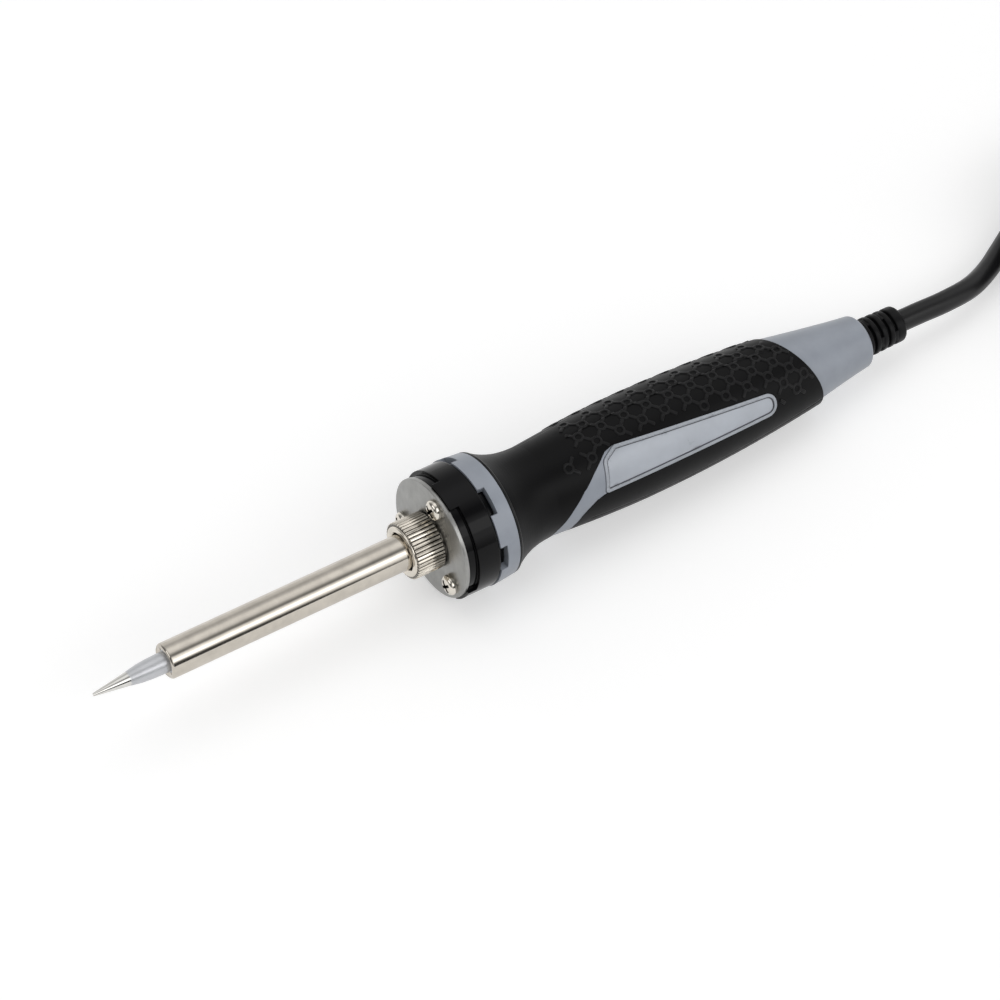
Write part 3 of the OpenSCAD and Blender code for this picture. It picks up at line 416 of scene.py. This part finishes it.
REAR_X = HANK_X + RUN_L
relief_end = LAID @ Vector((span("strain_relief")[1], 0, 0)) / MM
straight_on = LAID @ Vector((span("strain_relief")[1] + 2.5 * MM, 0, 0)) / MM
route = [tuple(relief_end), tuple(straight_on)]
route += [(130, 0, 9.6), (138, 0, 8.9), (148, 1.4, 7.4), (157, 5.2, 5.4), (166, 10.4, 3.7),
          (175, 15.6, 3), (184, 20.8, 3), (190, 23.2, 3), (HANK_X, OUTER_R, FLOOR_Z)]
route += run(HANK_X, REAR_X, OUTER_R, FLOOR_Z) + fold(REAR_X, 1, OUTER_R, FLOOR_Z)
route += run(REAR_X, HANK_X, -OUTER_R, FLOOR_Z)
route += fold(HANK_X, -1, OUTER_R, FLOOR_Z, INNER_R, 0.67)
route += run(HANK_X, REAR_X, INNER_R, FLOOR_Z) + fold(REAR_X, 1, INNER_R, FLOOR_Z)
route += run(REAR_X, HANK_X, -INNER_R, FLOOR_Z, to_z=SECOND_Z, shift=(0.5, 1))
route += fold(HANK_X, -1, INNER_R, SECOND_Z)
route += run(HANK_X, REAR_X, INNER_R, SECOND_Z) + fold(REAR_X, 1, INNER_R, SECOND_Z)
route += run(REAR_X, HANK_X, -INNER_R, SECOND_Z, to_y=-OUTER_R, shift=(0.17, 0.67))
route += fold(HANK_X, -1, OUTER_R, SECOND_Z)
route += run(HANK_X, REAR_X, OUTER_R, SECOND_Z) + fold(REAR_X, 1, OUTER_R, SECOND_Z)
route += run(REAR_X, HANK_X, -OUTER_R, SECOND_Z, to_z=TOP_Z, shift=(0, 0.36))
route += fold(HANK_X, -1, OUTER_R, TOP_Z)
route += [(206, 23, 15), (216, 18.4, 15.3), (226, 11.8, 16.5), (235, 5.6, 17.8),
          (243, 1.6, 18.7), (250, 0, 19), (256, 0, 19)]


def over_tie(point):
    """The strap under the hank lifts the lowest turns by its thickness, and the next ones a little."""
    x, y, z = point
    if x < TIE_X0 - TIE_REACH or x > TIE_X1 + TIE_REACH or abs(y) < TIE_INSIDE:
        return point
    near = (eased((x - TIE_X0 + TIE_REACH) / TIE_REACH)
            * eased((TIE_X1 + TIE_REACH - x) / TIE_REACH))
    lift = 1.0 if z < FLOOR_Z + 2 else 0.5 if z < SECOND_Z + 2 else 0.0
    return (x, y, z + lift * near)


def smoothed(points, step=2.0):
    """Points close together on one smooth curve through the given ones."""
    curve = []
    padded = [points[0]] + list(points) + [points[-1]]
    for a, b, c, d in zip(padded, padded[1:], padded[2:], padded[3:]):
        a, b, c, d = Vector(a), Vector(b), Vector(c), Vector(d)
        count = max(1, round((c - b).length / step))
        for i in range(count):
            t = i / count
            curve.append(0.5 * (2 * b + (c - a) * t + (2 * a - 5 * b + 4 * c - d) * t * t
                                + (3 * b - a - 3 * c + d) * t ** 3))
    return curve + [Vector(points[-1])]


# ---- Modelling by hand: a primitive at its place, then edit-mode operators ----

def select_only(*pieces):
    if bpy.context.object and bpy.context.object.mode != "OBJECT":
        bpy.ops.object.mode_set(mode="OBJECT")
    bpy.ops.object.select_all(action="DESELECT")
    for piece in pieces:
        piece.select_set(True)
        bpy.context.view_layer.objects.active = piece


def edit_where(piece, kind, wanted):
    """Goes into edit mode with only the corners, or only the faces, that are wanted."""
    select_only(piece)
    bpy.context.scene.tool_settings.mesh_select_mode = (kind == "corners", False, kind == "faces")
    for part in (piece.data.vertices, piece.data.edges, piece.data.polygons):
        for element in part:
            element.select = False
    for element in (piece.data.vertices if kind == "corners" else piece.data.polygons):
        element.select = bool(wanted(element))
    bpy.ops.object.mode_set(mode="EDIT")


def edit_whole(piece):
    edit_where(piece, "corners", lambda corner: False)
    bpy.ops.mesh.select_all(action="SELECT")


def named(name):
    """Names the new primitive and gives its place to its mesh."""
    bpy.ops.object.transform_apply(location=True, rotation=True, scale=True)
    made = bpy.context.object
    made.name = made.data.name = name
    return made


def lathe(name, profile, sides):
    """A closed outline of [along, radius] places in millimetres, turned round the X axis."""
    select_only()
    x, r = profile[0]
    bpy.ops.mesh.primitive_circle_add(vertices=sides, radius=r * MM, location=(x * MM, 0, 0),
                                      rotation=(0, math.pi / 2, 0))
    piece = named(name)
    edit_whole(piece)
    for (x0, r0), (x1, r1) in zip(profile, profile[1:] + profile[:1]):
        bpy.ops.mesh.extrude_region_move(
            TRANSFORM_OT_translate={"value": ((x1 - x0) * MM, 0, 0)})
        bpy.ops.transform.resize(value=(1, r1 / r0, r1 / r0), center_override=(x1 * MM, 0, 0))
    bpy.ops.object.mode_set(mode="OBJECT")
    return piece


def quarter(x, r, radius, start, end, steps=4):
    """Places on a rounded corner of an outline, from one angle to another."""
    turns = [math.radians(start + (end - start) * i / steps) for i in range(steps + 1)]
    return [(x + radius * math.cos(t), r + radius * math.sin(t)) for t in turns]


def turned_to(angle):
    """Round the iron's axis by an angle in degrees, from its left side over its top."""
    return Matrix.Rotation(-math.radians(angle), 4, "X")


def joined(name, *parts):
    select_only(*parts)
    bpy.context.view_layer.objects.active = parts[0]
    bpy.ops.object.join()
    parts[0].name = parts[0].data.name = name
    return parts[0]


def repeated(name, pattern, places):
    """One shape set down at many places, each copy with a mesh of its own."""
    copies = []
    for place in places:
        copy = pattern.copy()
        copy.data = pattern.data.copy()
        copy.data.transform(place)
        bpy.context.scene.collection.objects.link(copy)
        copies.append(copy)
    bpy.data.objects.remove(pattern)
    return joined(name, *copies)


def applied(piece, kind, **settings):
    select_only(piece)
    modifier = piece.modifiers.new(kind.lower(), kind)
    for key, value in settings.items():
        setattr(modifier, key, value)
    bpy.ops.object.modifier_apply(modifier=modifier.name)
    return piece


def merged_copy(node_name, name, flat=True):
    """A CAD node's shape as a piece of its own, its corners merged and its flat faces made whole."""
    piece = bpy.data.objects.new(name, frame["nodes"][node_name].data.copy())
    piece.data.name = name
    bpy.context.scene.collection.objects.link(piece)
    edit_whole(piece)
    bpy.ops.mesh.remove_doubles(threshold=0.000002)
    if flat:
        bpy.ops.mesh.dissolve_limited(angle_limit=math.radians(0.5))
    bpy.ops.object.mode_set(mode="OBJECT")
    return piece


def finished(piece, mats, body, slot, *nodes, smooth, place=None):
    """Puts the piece in its place, closes its seams, turns its faces outwards and lets it ride."""
    if place is not None:
        piece.data.transform(place)
    edit_whole(piece)
    bpy.ops.mesh.remove_doubles(threshold=0.000001)
    bpy.ops.mesh.normals_make_consistent(inside=False)
    bpy.ops.object.mode_set(mode="OBJECT")
    bpy.ops.object.shade_smooth_by_angle(angle=math.radians(smooth))
    while len(piece.data.materials) < len(mats):
        piece.data.materials.append(None)
    for i, mat in enumerate(mats):
        piece.data.materials[i] = mat
    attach(piece, body)
    if nodes:
        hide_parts(*nodes)
    return piece


# ---- Nut: a short plain collar in front, then rounded ridges all round ----

RIDGES = 45
RIDGE_SHARE = 0.44         # half a ridge's width, as a share of the pitch


def make_nut():
    start, end, r = (v / MM for v in span("barrel_nut"))
    front, collar_r, collar_round = start - 0.4, r - 0.85, 0.4
    floor_start, floor_r, rear_round = start + 0.1, r - 0.45, 0.3
    mouth_r, mouth_bevel = 5.1, 0.35
    bore_start, bore_r = start + 1.4, 6.35
    body = lathe("nut_body", [
        (front, mouth_r + mouth_bevel), (front, collar_r - collar_round),
        *quarter(front + collar_round, collar_r - collar_round, collar_round, 180, 90),
        (floor_start, collar_r), (floor_start, floor_r),
        *quarter(end - rear_round, floor_r - rear_round, rear_round, 90, 0),
        (end, bore_r), (bore_start, bore_r), (bore_start, mouth_r),
        (front + mouth_bevel, mouth_r)], sides=120)
    ridge_r = RIDGE_SHARE * 2 * math.pi * r / RIDGES
    first, last = floor_start + 0.12, end - 0.4
    select_only()
    bpy.ops.mesh.primitive_cylinder_add(
        vertices=8, radius=ridge_r * MM, depth=(last - first) * MM,
        location=((first + last) / 2 * MM, 0, (r - ridge_r) * MM), rotation=(0, math.pi / 2, 0))
    ridge = named("nut_ridge")
    for way, at in ((-1, first), (1, last)):
        edit_where(ridge, "faces", lambda face: face.normal.x * way > 0.9)
        bpy.ops.mesh.extrude_region_move(
            TRANSFORM_OT_translate={"value": (way * 0.16 * MM, 0, 0)})
        bpy.ops.transform.resize(value=(1, 0.75, 0.75),
                                 center_override=(at * MM, 0, (r - 1.4 * ridge_r) * MM))
        bpy.ops.object.mode_set(mode="OBJECT")
    ridges = repeated("nut_ridges", ridge, [turned_to(360 / RIDGES * i) for i in range(RIDGES)])
    nut = finished(joined("knurled_nut", body, ridges), [nut_nickel, painted_shade_steel], "nut",
                   "nickel_nut", "barrel_nut", place=LAID, smooth=40)
    # The faces of the bore take the painted shade steel.
    for face in nut.data.polygons:
        centre = UPRIGHT @ face.center / MM
        if math.hypot(centre.y, centre.z) < bore_r and centre.x > front + 0.3:
            face.material_index = 1


# ---- Screws of the plate: domed heads with a cross recess ----

SCREWS = ((82.6, 25), (201.1, 60), (-36.4, 8))      # each one's angle and its cross's turn
HEAD_R, HEAD_H, BRIM_H = 2.75, 1.95, 0.7
HEAD_FLAT = 0.3            # share of the head's radius at the top of its dome
CORE_R, SHANK_R = 0.3, 1.35
RECESS_DEPTH, RECESS_L, RECESS_W = 1.3, 3.5, 0.8


def make_screws():
    _, rear, reach = (v / MM for v in span("plate_screws"))
    dome = [(-BRIM_H - (HEAD_H - BRIM_H) * math.sin(math.radians(t)),
             HEAD_R * (HEAD_FLAT + (1 - HEAD_FLAT) * math.cos(math.radians(t))))
            for t in range(0, 91, 15)]
    screw = lathe("screw", [
        (rear, CORE_R), (rear, SHANK_R), (0.05, SHANK_R + 0.05), (0.05, HEAD_R - 0.1),
        (-0.1, HEAD_R), *dome, (-HEAD_H, CORE_R)], sides=40)
    screw.data.materials.append(screw_steel)
    for turn in (0, 90):
        select_only()
        bpy.ops.mesh.primitive_cube_add(
            size=1, location=(-HEAD_H * MM, 0, 0), rotation=(math.radians(turn), 0, 0),
            scale=(2 * RECESS_DEPTH * MM, RECESS_L * MM, RECESS_W * MM))
        bar = named("recess_bar")
        # The recess's faces take the painted shade steel.
        bar.data.materials.append(painted_shade_steel)
        applied(screw, "BOOLEAN", operation="DIFFERENCE", object=bar, solver="EXACT",
                material_mode="TRANSFER")
        bpy.data.objects.remove(bar)
    places = [turned_to(angle - 90) @ Matrix.Translation((0, 0, (reach - HEAD_R) * MM))
              @ Matrix.Rotation(math.radians(spin), 4, "X") for angle, spin in SCREWS]
    finished(repeated("cross_screws", screw, places), [screw_steel, painted_shade_steel], "handle",
             "screw_steel", "plate_screws", place=LAID, smooth=35)


# ---- Strain relief: rounded ribs with short bridges between them ----

def make_relief():
    root, end, _ = (v / MM for v in span("strain_relief"))
    tail = span("handle_body")[1] / MM
    ribs, rib_r, groove_r, bore_r, root_r = 5, 5.3, 4.15, 3.06, 4.0
    taper, rib_share, rear_play = 0.07, 0.64, 0.45
    first = tail + 0.3
    pitch = (end - tail) / (ribs + rear_play)
    outline = [(root, bore_r), (root, root_r), (tail + 0.1, root_r), (tail + 0.1, groove_r)]
    for i in range(ribs):
        last_rib = i == ribs - 1
        x, r = first + pitch * i, rib_r - taper * i
        rear = end if last_rib else x + rib_share * pitch
        ease = 0.95 if last_rib else 0.4
        outline += [(x, groove_r)] + quarter(x + 0.4, r - 0.4, 0.4, 180, 90)
        outline += quarter(rear - ease, r - ease, ease, 90, 0)
        if not last_rib:
            outline += [(rear, groove_r)]
    outline += [(end, bore_r)]
    body = lathe("relief_body", outline, sides=72)
    select_only()
    bpy.ops.mesh.primitive_cube_add(size=1, location=(0, 0, (groove_r + 0.3) * MM),
                                    scale=(0.5 * pitch * MM, 3.0 * MM, 0.9 * MM))
    bridge = applied(named("relief_bridge"), "BEVEL", width=0.16 * MM, segments=2)
    between = (1 + rib_share) / 2      # middle of the gap behind a rib, in pitches from its front
    places = [turned_to(90 * (i % 2) + 12 + half)
              @ Matrix.Translation(((first + pitch * (i + between)) * MM, 0, 0))
              for i in range(ribs - 1) for half in (0, 180)]
    bridges = repeated("relief_bridges", bridge, places)
    finished(joined("ribbed_relief", body, bridges), [relief_black], "handle", "cord_black",
             "strain_relief", place=LAID, smooth=35)


# ---- Plate: its edges rolled over ----

def make_plate():
    plate = merged_copy("flange_plate", "rounded_plate")
    applied(plate, "BEVEL", width=0.32 * MM, segments=3, limit_method="ANGLE",
            angle_limit=math.radians(50))
    finished(plate, [plate_steel], "handle", "plate_steel", "flange_plate", smooth=35)


# ---- Grip: what its skin carries ----

sleeve = frame["nodes"]["grip_sleeve"].data
sleeve_tree = BVHTree.FromPolygons([UPRIGHT @ v.co for v in sleeve.vertices],
                                   [p.vertices for p in sleeve.polygons])


OUTSIDE, DEEPEST = 40 * MM, 30 * MM    # rays start outside the grip and go no deeper than this
SKIN_R = 13.5              # usual radius of the skin, where only a small turn is wanted


def skin_radius(x, angle):
    """Radius of the rubber's skin in millimetres, or None where it has a window."""
    turn = math.radians(angle)
    out = Vector((0, -math.cos(turn), math.sin(turn)))
    start = Vector((x * MM, 0, 0)) + out * OUTSIDE
    hit = sleeve_tree.ray_cast(start, -out)[0]
    if hit is None or (hit - start).length > DEEPEST:
        return None
    return (OUTSIDE - (hit - start).length) / MM


def skin_place(x, angle, twist=0.0):
    """Where a flat shape lies on the skin: X along the iron, Z straight out."""
    r, near = skin_radius(x, angle), 0.4
    slope = (skin_radius(x + near, angle) - skin_radius(x - near, angle)) / (2 * near)
    return (turned_to(angle - 90) @ Matrix.Translation((x * MM, 0, r * MM))
            @ Matrix.Rotation(-math.atan(slope), 4, "Y") @ Matrix.Rotation(twist, 4, "Z"))


def lies_on_rubber(x, angle, reach):
    """Whether the skin goes on all round a place, as far as the shape that stands there reaches."""
    for i in range(8):
        turn = math.pi / 4 * i
        if skin_radius(x + reach * math.cos(turn),
                       angle + math.degrees(reach * math.sin(turn) / SKIN_R)) is None:
            return False
    return True


SMOOTH_END = 99            # here the smooth panel's edge steps down, behind the label plate
SMOOTH_HIGH, SMOOTH_LOW = 1.5, -4.5


def on_smooth_panel(x, angle):
    """The rubber stays smooth under the label plates, towards the underside of the grip."""
    height = skin_radius(x, angle) * math.sin(math.radians(angle - LABEL_ANGLE))
    return height < (SMOOTH_HIGH if x < SMOOTH_END else SMOOTH_LOW)


RING_R, BAR_L, BAR_W, BAR_H = 1.6, 2.05, 0.95, 0.48
RING_FOOT = -0.2           # how deep in the rubber a ring begins
RING_STEPS = ((1.52, 0.33), (1.4, 0.09), (0.98, 0.0), (0.86, -0.09), (0.8, -0.33))
PATTERN_START, PATTERN_PITCH = 43.7, 6.95
FIRST_ROW, ROW_ANGLE, ROWS = 12, 14.3, 7
SIDE_ROWS = 60             # beyond this angle from the top the rows begin further forward


def raised_ring(name):
    """A low ring: over its outer edge, across its top and down into the middle."""
    select_only()
    bpy.ops.mesh.primitive_circle_add(vertices=18, radius=RING_R * MM,
                                      location=(0, 0, RING_FOOT * MM))
    ring = named(name)
    edit_whole(ring)
    r = RING_R
    for to_r, up_by in RING_STEPS:
        bpy.ops.mesh.extrude_region_move(TRANSFORM_OT_translate={"value": (0, 0, up_by * MM)})
        bpy.ops.transform.resize(value=(to_r / r, to_r / r, 1), center_override=(0, 0, 0))
        r = to_r
    bpy.ops.mesh.extrude_region_move(TRANSFORM_OT_translate={"value": (0, 0, 0)})
    bpy.ops.transform.resize(value=(RING_R / r, RING_R / r, 1), center_override=(0, 0, 0))
    bpy.ops.object.mode_set(mode="OBJECT")
    return ring


def raised_bar(name):
    select_only()
    bpy.ops.mesh.primitive_cube_add(size=1, location=(0, 0, -0.02 * MM),
                                    scale=(BAR_L * MM, BAR_W * MM, BAR_H * MM))
    return applied(named(name), "BEVEL", width=0.16 * MM, segments=2)


def make_grip_pattern():
    """Rings in staggered rows, each tied to its four neighbours by slanting bars."""
    rings, bars = [], []
    last = span("grip_sleeve")[1] / MM

    def room_for(x, row, reach):
        angle = TOP_ANGLE + row
        return lies_on_rubber(x, angle, reach) and not on_smooth_panel(x, angle)

    for k, side in ((k, side) for k in range(ROWS) for side in (-1, 1)):
        row = side * (FIRST_ROW + ROW_ANGLE * k)
        begin = PATTERN_FRONT + 1 if abs(row) <= SIDE_ROWS else -math.inf
        x = PATTERN_START - PATTERN_PITCH + (PATTERN_PITCH / 2 if k % 2 else 0.0)
        while x < last:
            if x > begin and room_for(x, row, RING_R):
                rings.append(skin_place(x, TOP_ANGLE + row))
            bar_x = x + PATTERN_PITCH / 4
            for outward in (-1, 1) if k else (1,):
                bar_row = row + outward * side * ROW_ANGLE / 2
                if bar_x > begin and room_for(bar_x, bar_row, 1.3):
                    lean = math.radians(outward * side * 45)
                    bars.append(skin_place(bar_x, TOP_ANGLE + bar_row, lean))
            x += PATTERN_PITCH
    made = joined("grip_pattern", repeated("pattern_rings", raised_ring("ring"), rings),
                  repeated("pattern_bars", raised_bar("bar"), bars))
    finished(made, [stud_rubber], "handle", "grip_rubber", place=LAID, smooth=40)


def make_lip_bead():
    """The rolled front edge of the rubber, behind the grey flange."""
    x, bead_r = span("grip_sleeve")[0] / MM + 0.6, 0.42
    r = skin_radius(x, TOP_ANGLE) - bead_r + 0.2
    bead = lathe("grip_lip_bead", [
        (x + bead_r * math.cos(math.radians(t)), r + bead_r * math.sin(math.radians(t)))
        for t in range(0, 360, 30)], sides=128)
    finished(bead, [lip_rubber], "handle", "grip_rubber", place=LAID, smooth=50)


# ---- Barrel: its front end rolled in towards the shank ----

def make_barrel():
    start, end, flange_r = (v / MM for v in span("barrel_tube"))
    corners = [UPRIGHT @ v.co / MM for v in frame["nodes"]["barrel_tube"].data.vertices]
    tube_r = max(math.hypot(c.y, c.z) for c in corners if c.x < start + 3)
    flange_x = min(c.x for c in corners if math.hypot(c.y, c.z) > tube_r + 0.1)
    shank_r = min(math.hypot(c.y, c.z) for c in corners)
    wall, roll, lip = 0.35, 0.9, 1.6
    funnel = [(0.75, 0.2), (0.35, 0.6), (0.1, 1.05)]    # from the front, and out from the shank
    barrel = lathe("rolled_barrel", [
        (start + lip, shank_r + 0.05), *((start + x, shank_r + r) for x, r in funnel),
        *quarter(start + roll, tube_r - roll, roll, 180, 90, 6),
        (flange_x, tube_r), (flange_x, flange_r), (end, flange_r), (end, tube_r - wall),
        (start + lip, tube_r - wall)], sides=128)
    finished(barrel, [nickel], "barrel", "nickel", "barrel_tube", place=LAID, smooth=35)


def make_label(node_name, name):
    """The raised frame, a painted shadow line inside it and a silvery panel."""
    plate = merged_copy(node_name, name, flat=False)
    plate.data.materials.clear()
    for mat in (frame_plastic, painted_shadow_line, label_silver):
        plate.data.materials.append(mat)
    turn_back = UPRIGHT.to_3x3()

    def depth_and_facing(face):
        """How far a face lies outside the grip's top skin, and how much it looks outwards."""
        centre = UPRIGHT @ face.center
        out = Vector((0, centre.y, centre.z))
        return (out.length / MM - skin_radius(centre.x / MM, TOP_ANGLE),
                (turn_back @ face.normal).dot(out.normalized()))

    def on_panel(face):
        depth, outward = depth_and_facing(face)
        return outward > 0.7 and -0.3 < depth < -0.08

    def on_step(face):
        depth, outward = depth_and_facing(face)
        return abs(outward) < 0.5 and depth > -0.15

    # Painted shadow line on the step walls and on a thin ring round the panel, which the inset below
    # leaves.
    for face in plate.data.polygons:
        face.material_index = 1 if on_panel(face) or on_step(face) else 0
    edit_where(plate, "faces", on_panel)
    bpy.ops.mesh.inset(thickness=0.3 * MM, depth=0.0, use_boundary=True)
    plate.active_material_index = 2
    bpy.ops.object.material_slot_assign()
    bpy.ops.object.mode_set(mode="OBJECT")
    finished(plate, [frame_plastic, painted_shadow_line, label_silver], "handle", "label_plastic",
             node_name, smooth=25)


# ---- Strap round the hank: a flat band drawn tight, its end laid over itself ----

STRAP_T = 0.9
LOW_TURN, HIGH_TURN = 4, 15     # centres of the lowest and the highest turn under the strap
# Across the top of the hank: how far aside, and how much higher than the band lies on the cord.
UNDER_LAP = ((-13, 0), (-4, -0.15), (6, -0.15), (16, 0))
OVER_LAP = ((-19, 0.15), (-15, 0.7), (-12, 0.95), (-4, 0.85), (6, 0.85), (14, 0.95), (17, 1.15))


def make_strap():
    gap = CORD_D / MM / 2 + 0.05 + STRAP_T / 2

    def corner(y, z, start, end):
        return [(y + gap * math.cos(math.radians(t)), z + gap * math.sin(math.radians(t)))
                for t in range(start, end, 15 if end > start else -15)]

    over, under = HIGH_TURN + gap, LOW_TURN - gap
    path = [(y, over + higher) for y, higher in UNDER_LAP]
    path += corner(OUTER_R, HIGH_TURN, 90, -1) + corner(OUTER_R, LOW_TURN, 0, -91)
    path += [(12, under), (0, under), (-12, under)]
    path += corner(-OUTER_R, LOW_TURN, -90, -181) + corner(-OUTER_R, HIGH_TURN, 180, 89)
    path += [(y, over + higher) for y, higher in OVER_LAP]
    # A plane's edge at the first place of the path is drawn out along it.
    middle_y = (path[0][0] - 0.5) * MM
    select_only()
    bpy.ops.mesh.primitive_plane_add(
        size=1, location=((TIE_X0 + TIE_X1) / 2 * MM, middle_y, path[0][1] * MM))
    bpy.context.object.scale = ((TIE_X1 - TIE_X0) * MM, MM, 1)
    strap = named("tie_strap")
    edit_where(strap, "corners", lambda corner: corner.co.y < middle_y)
    bpy.ops.mesh.delete(type="VERT")
    bpy.ops.mesh.select_all(action="SELECT")
    for (y0, z0), (y1, z1) in zip(path, path[1:]):
        bpy.ops.mesh.extrude_region_move(
            TRANSFORM_OT_translate={"value": (0, (y1 - y0) * MM, (z1 - z0) * MM)})
    bpy.ops.mesh.select_all(action="SELECT")
    bpy.ops.mesh.normals_make_consistent(inside=False)
    bpy.ops.object.mode_set(mode="OBJECT")
    applied(strap, "SOLIDIFY", thickness=STRAP_T * MM, offset=0.0, use_even_offset=True)
    applied(strap, "BEVEL", width=0.25 * MM, segments=2, limit_method="ANGLE",
            angle_limit=math.radians(60))
    return finished(strap, [tie_black], "handle", "cord_black", "cord_tie", smooth=40)


# ---- Plug: ribs for the fingers and a ribbed sleeve ----

def make_plug_ribs():
    low, high = (Vector(c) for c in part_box("plug_body"))
    plug_r, rib_at, rib_r, rib_l = 18.5, 18.4, 0.75, 13
    select_only()
    bpy.ops.mesh.primitive_cylinder_add(
        vertices=10, radius=rib_r * MM, depth=rib_l * MM,
        location=(0, rib_at * MM, (low.z + high.z) / 2))
    rib = named("finger_rib")
    edit_where(rib, "faces", lambda face: abs(face.normal.z) > 0.9)
    bpy.ops.mesh.inset(thickness=0.25 * MM, depth=0.35 * MM, use_individual=True)
    bpy.ops.object.mode_set(mode="OBJECT")
    places = [Matrix.Translation((high.x - plug_r * MM, 0, 0))
              @ Matrix.Rotation(math.radians(side + turn), 4, "Z")
              for side in (0, 180) for turn in range(-40, 41, 8)]
    return finished(repeated("plug_finger_ribs", rib, places), [plug_black], "handle", "plug_black",
                    smooth=40)


def make_plug_sleeve():
    low, high = (Vector(c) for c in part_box("plug_sleeve"))
    start, root = low.x / MM, (high.x - 3.9 * MM) / MM
    ribs, rib_r, growth, groove = 9, 3.95, 0.085, 0.75
    rib_share, edge, bore_r, foot_r, foot_l = 0.68, 0.35, 3.06, 3.44, 3.8
    pitch = (root - start - 1.5) / ribs
    outline = [(start, bore_r), (start, 3.45), (start + 0.3, 3.75)]
    for i in range(ribs):
        x, r = start + 0.8 + pitch * i, rib_r + growth * i
        rear = x + rib_share * pitch
        outline += [(x, r - groove)] + quarter(x + edge, r - edge, edge, 180, 90, 3)
        outline += quarter(rear - edge, r - edge, edge, 90, 0, 3) + [(rear, r - groove)]
    outline += [(root, 4.6), (root, foot_r), (root + foot_l, foot_r), (root + foot_l, bore_r)]
    return finished(lathe("ribbed_plug_sleeve", outline, sides=48), [relief_black], "handle",
                    "cord_black", "plug_sleeve", smooth=35,
                    place=Matrix.Translation((0, 0, (low.z + high.z) / 2)))


make_nut()
make_screws()
make_relief()
make_plate()
make_grip_pattern()
make_lip_bead()
make_barrel()
make_label("label_plate_left", "label_left")
make_label("label_plate_right", "label_right")
tie_strap = make_strap()
plug_finger_ribs = make_plug_ribs()
ribbed_plug_sleeve = make_plug_sleeve()

centreline = [p * MM for p in smoothed([over_tie(p) for p in route])]
curve = bpy.data.curves.new("mains_cord", "CURVE")
curve.dimensions = "3D"
curve.bevel_depth = CORD_D / 2
curve.bevel_resolution = 4
curve.use_fill_caps = True
spline = curve.splines.new("POLY")
spline.points.add(len(centreline) - 1)
for place, p in zip(spline.points, centreline):
    place.co = (*p, 1)
spline.use_smooth = True
mains_cord = bpy.data.objects.new("mains_cord", curve)
bpy.context.scene.collection.objects.link(mains_cord)
mains_cord.data.materials.append(cord_black)
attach(mains_cord, "handle")
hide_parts("cord_lead", "cord_hank", "cord_tail")

# ---- Floor and light ----

FLOOR_GLOW = 0.42          # light of the floor's own, where it's seen and not where it lights
select_only()
bpy.ops.mesh.primitive_plane_add(size=8, location=(0, 0, 0))
floor = named("floor")
paper = finish("pale paper", (0.72, 0.72, 0.72), 0.9)
seen = node(paper, "LightPath")
lit = node(paper, "Math", {
    0: seen.outputs["Is Camera Ray"], 1: seen.outputs["Is Glossy Ray"]}, operation="MAXIMUM")
lit = node(paper, "Math", {
    0: lit.outputs[0], 1: seen.outputs["Is Transmission Ray"]}, operation="MAXIMUM")
glow = node(paper, "Math", {0: lit.outputs[0], 1: FLOOR_GLOW}, operation="MULTIPLY")
shader_of(paper).inputs["Emission Color"].default_value = (1, 1, 1, 1)
link(paper, glow.outputs[0], "Emission Strength")
floor.data.materials.append(paper)

world = bpy.data.worlds.new("studio")
bpy.context.scene.world = world
world.use_nodes = True
sky = world.node_tree.nodes["Background"]
toward_sky = node(world, "SeparateXYZ", {
    "Vector": node(world, "TexCoord").outputs["Generated"]}).outputs
across = node(world, "MapRange", {
    "Value": toward_sky["Y"], "From Min": -1.0, "From Max": 1.0}).outputs[0]
panels = node(world, "ValToRGB", {"Fac": across})
leftward = node(world, "MapRange", {
    "Value": toward_sky["X"], "From Min": -0.6, "From Max": -0.15,
    "To Min": 0.6, "To Max": 2.0}).outputs[0]
world.node_tree.links.new(panels.outputs["Color"], sky.inputs["Color"])
world.node_tree.links.new(leftward, sky.inputs["Strength"])
# Long soft panels over the table, from in front (-1) over the top to behind (1), with gaps between.
PANELS = [(-1.0, 0.03), (-0.935, 0.04), (-0.90, 0.45), (-0.86, 0.74), (-0.62, 0.78), (-0.53, 0.5),
          (-0.43, 0.15), (-0.31, 0.14), (-0.2, 0.28), (-0.03, 0.5), (0.2, 0.58), (0.38, 0.54),
          (0.56, 0.37), (0.74, 0.29), (0.88, 0.4), (1.0, 0.5)]
ramp = panels.color_ramp
while len(ramp.elements) < len(PANELS):
    ramp.elements.new(0.5)
for element, (place, strength) in zip(ramp.elements, PANELS):
    element.position = (place + 1) / 2
    element.color = (strength, strength, strength, 1)


def softbox(name, place, aim, size, power):
    lamp = bpy.data.lights.new(name, "AREA")
    lamp.shape = "RECTANGLE"
    lamp.size, lamp.size_y = size
    lamp.energy = power
    box = bpy.data.objects.new(name, lamp)
    bpy.context.scene.collection.objects.link(box)
    box.matrix_world = Matrix.Translation(place) @ (
        (Vector(place) - Vector(aim)).to_track_quat("Z", "Y").to_matrix().to_4x4())


softbox("front_softbox", (0.30, -0.85, 0.66), (0, 0, 0), (1.6, 0.34), 1.4)
softbox("left_softbox", (-1.0, 0.1, 0.75), (0, 0, 0), (0.8, 0.5), 1.6)

bpy.context.scene.view_settings.view_transform = "Standard"
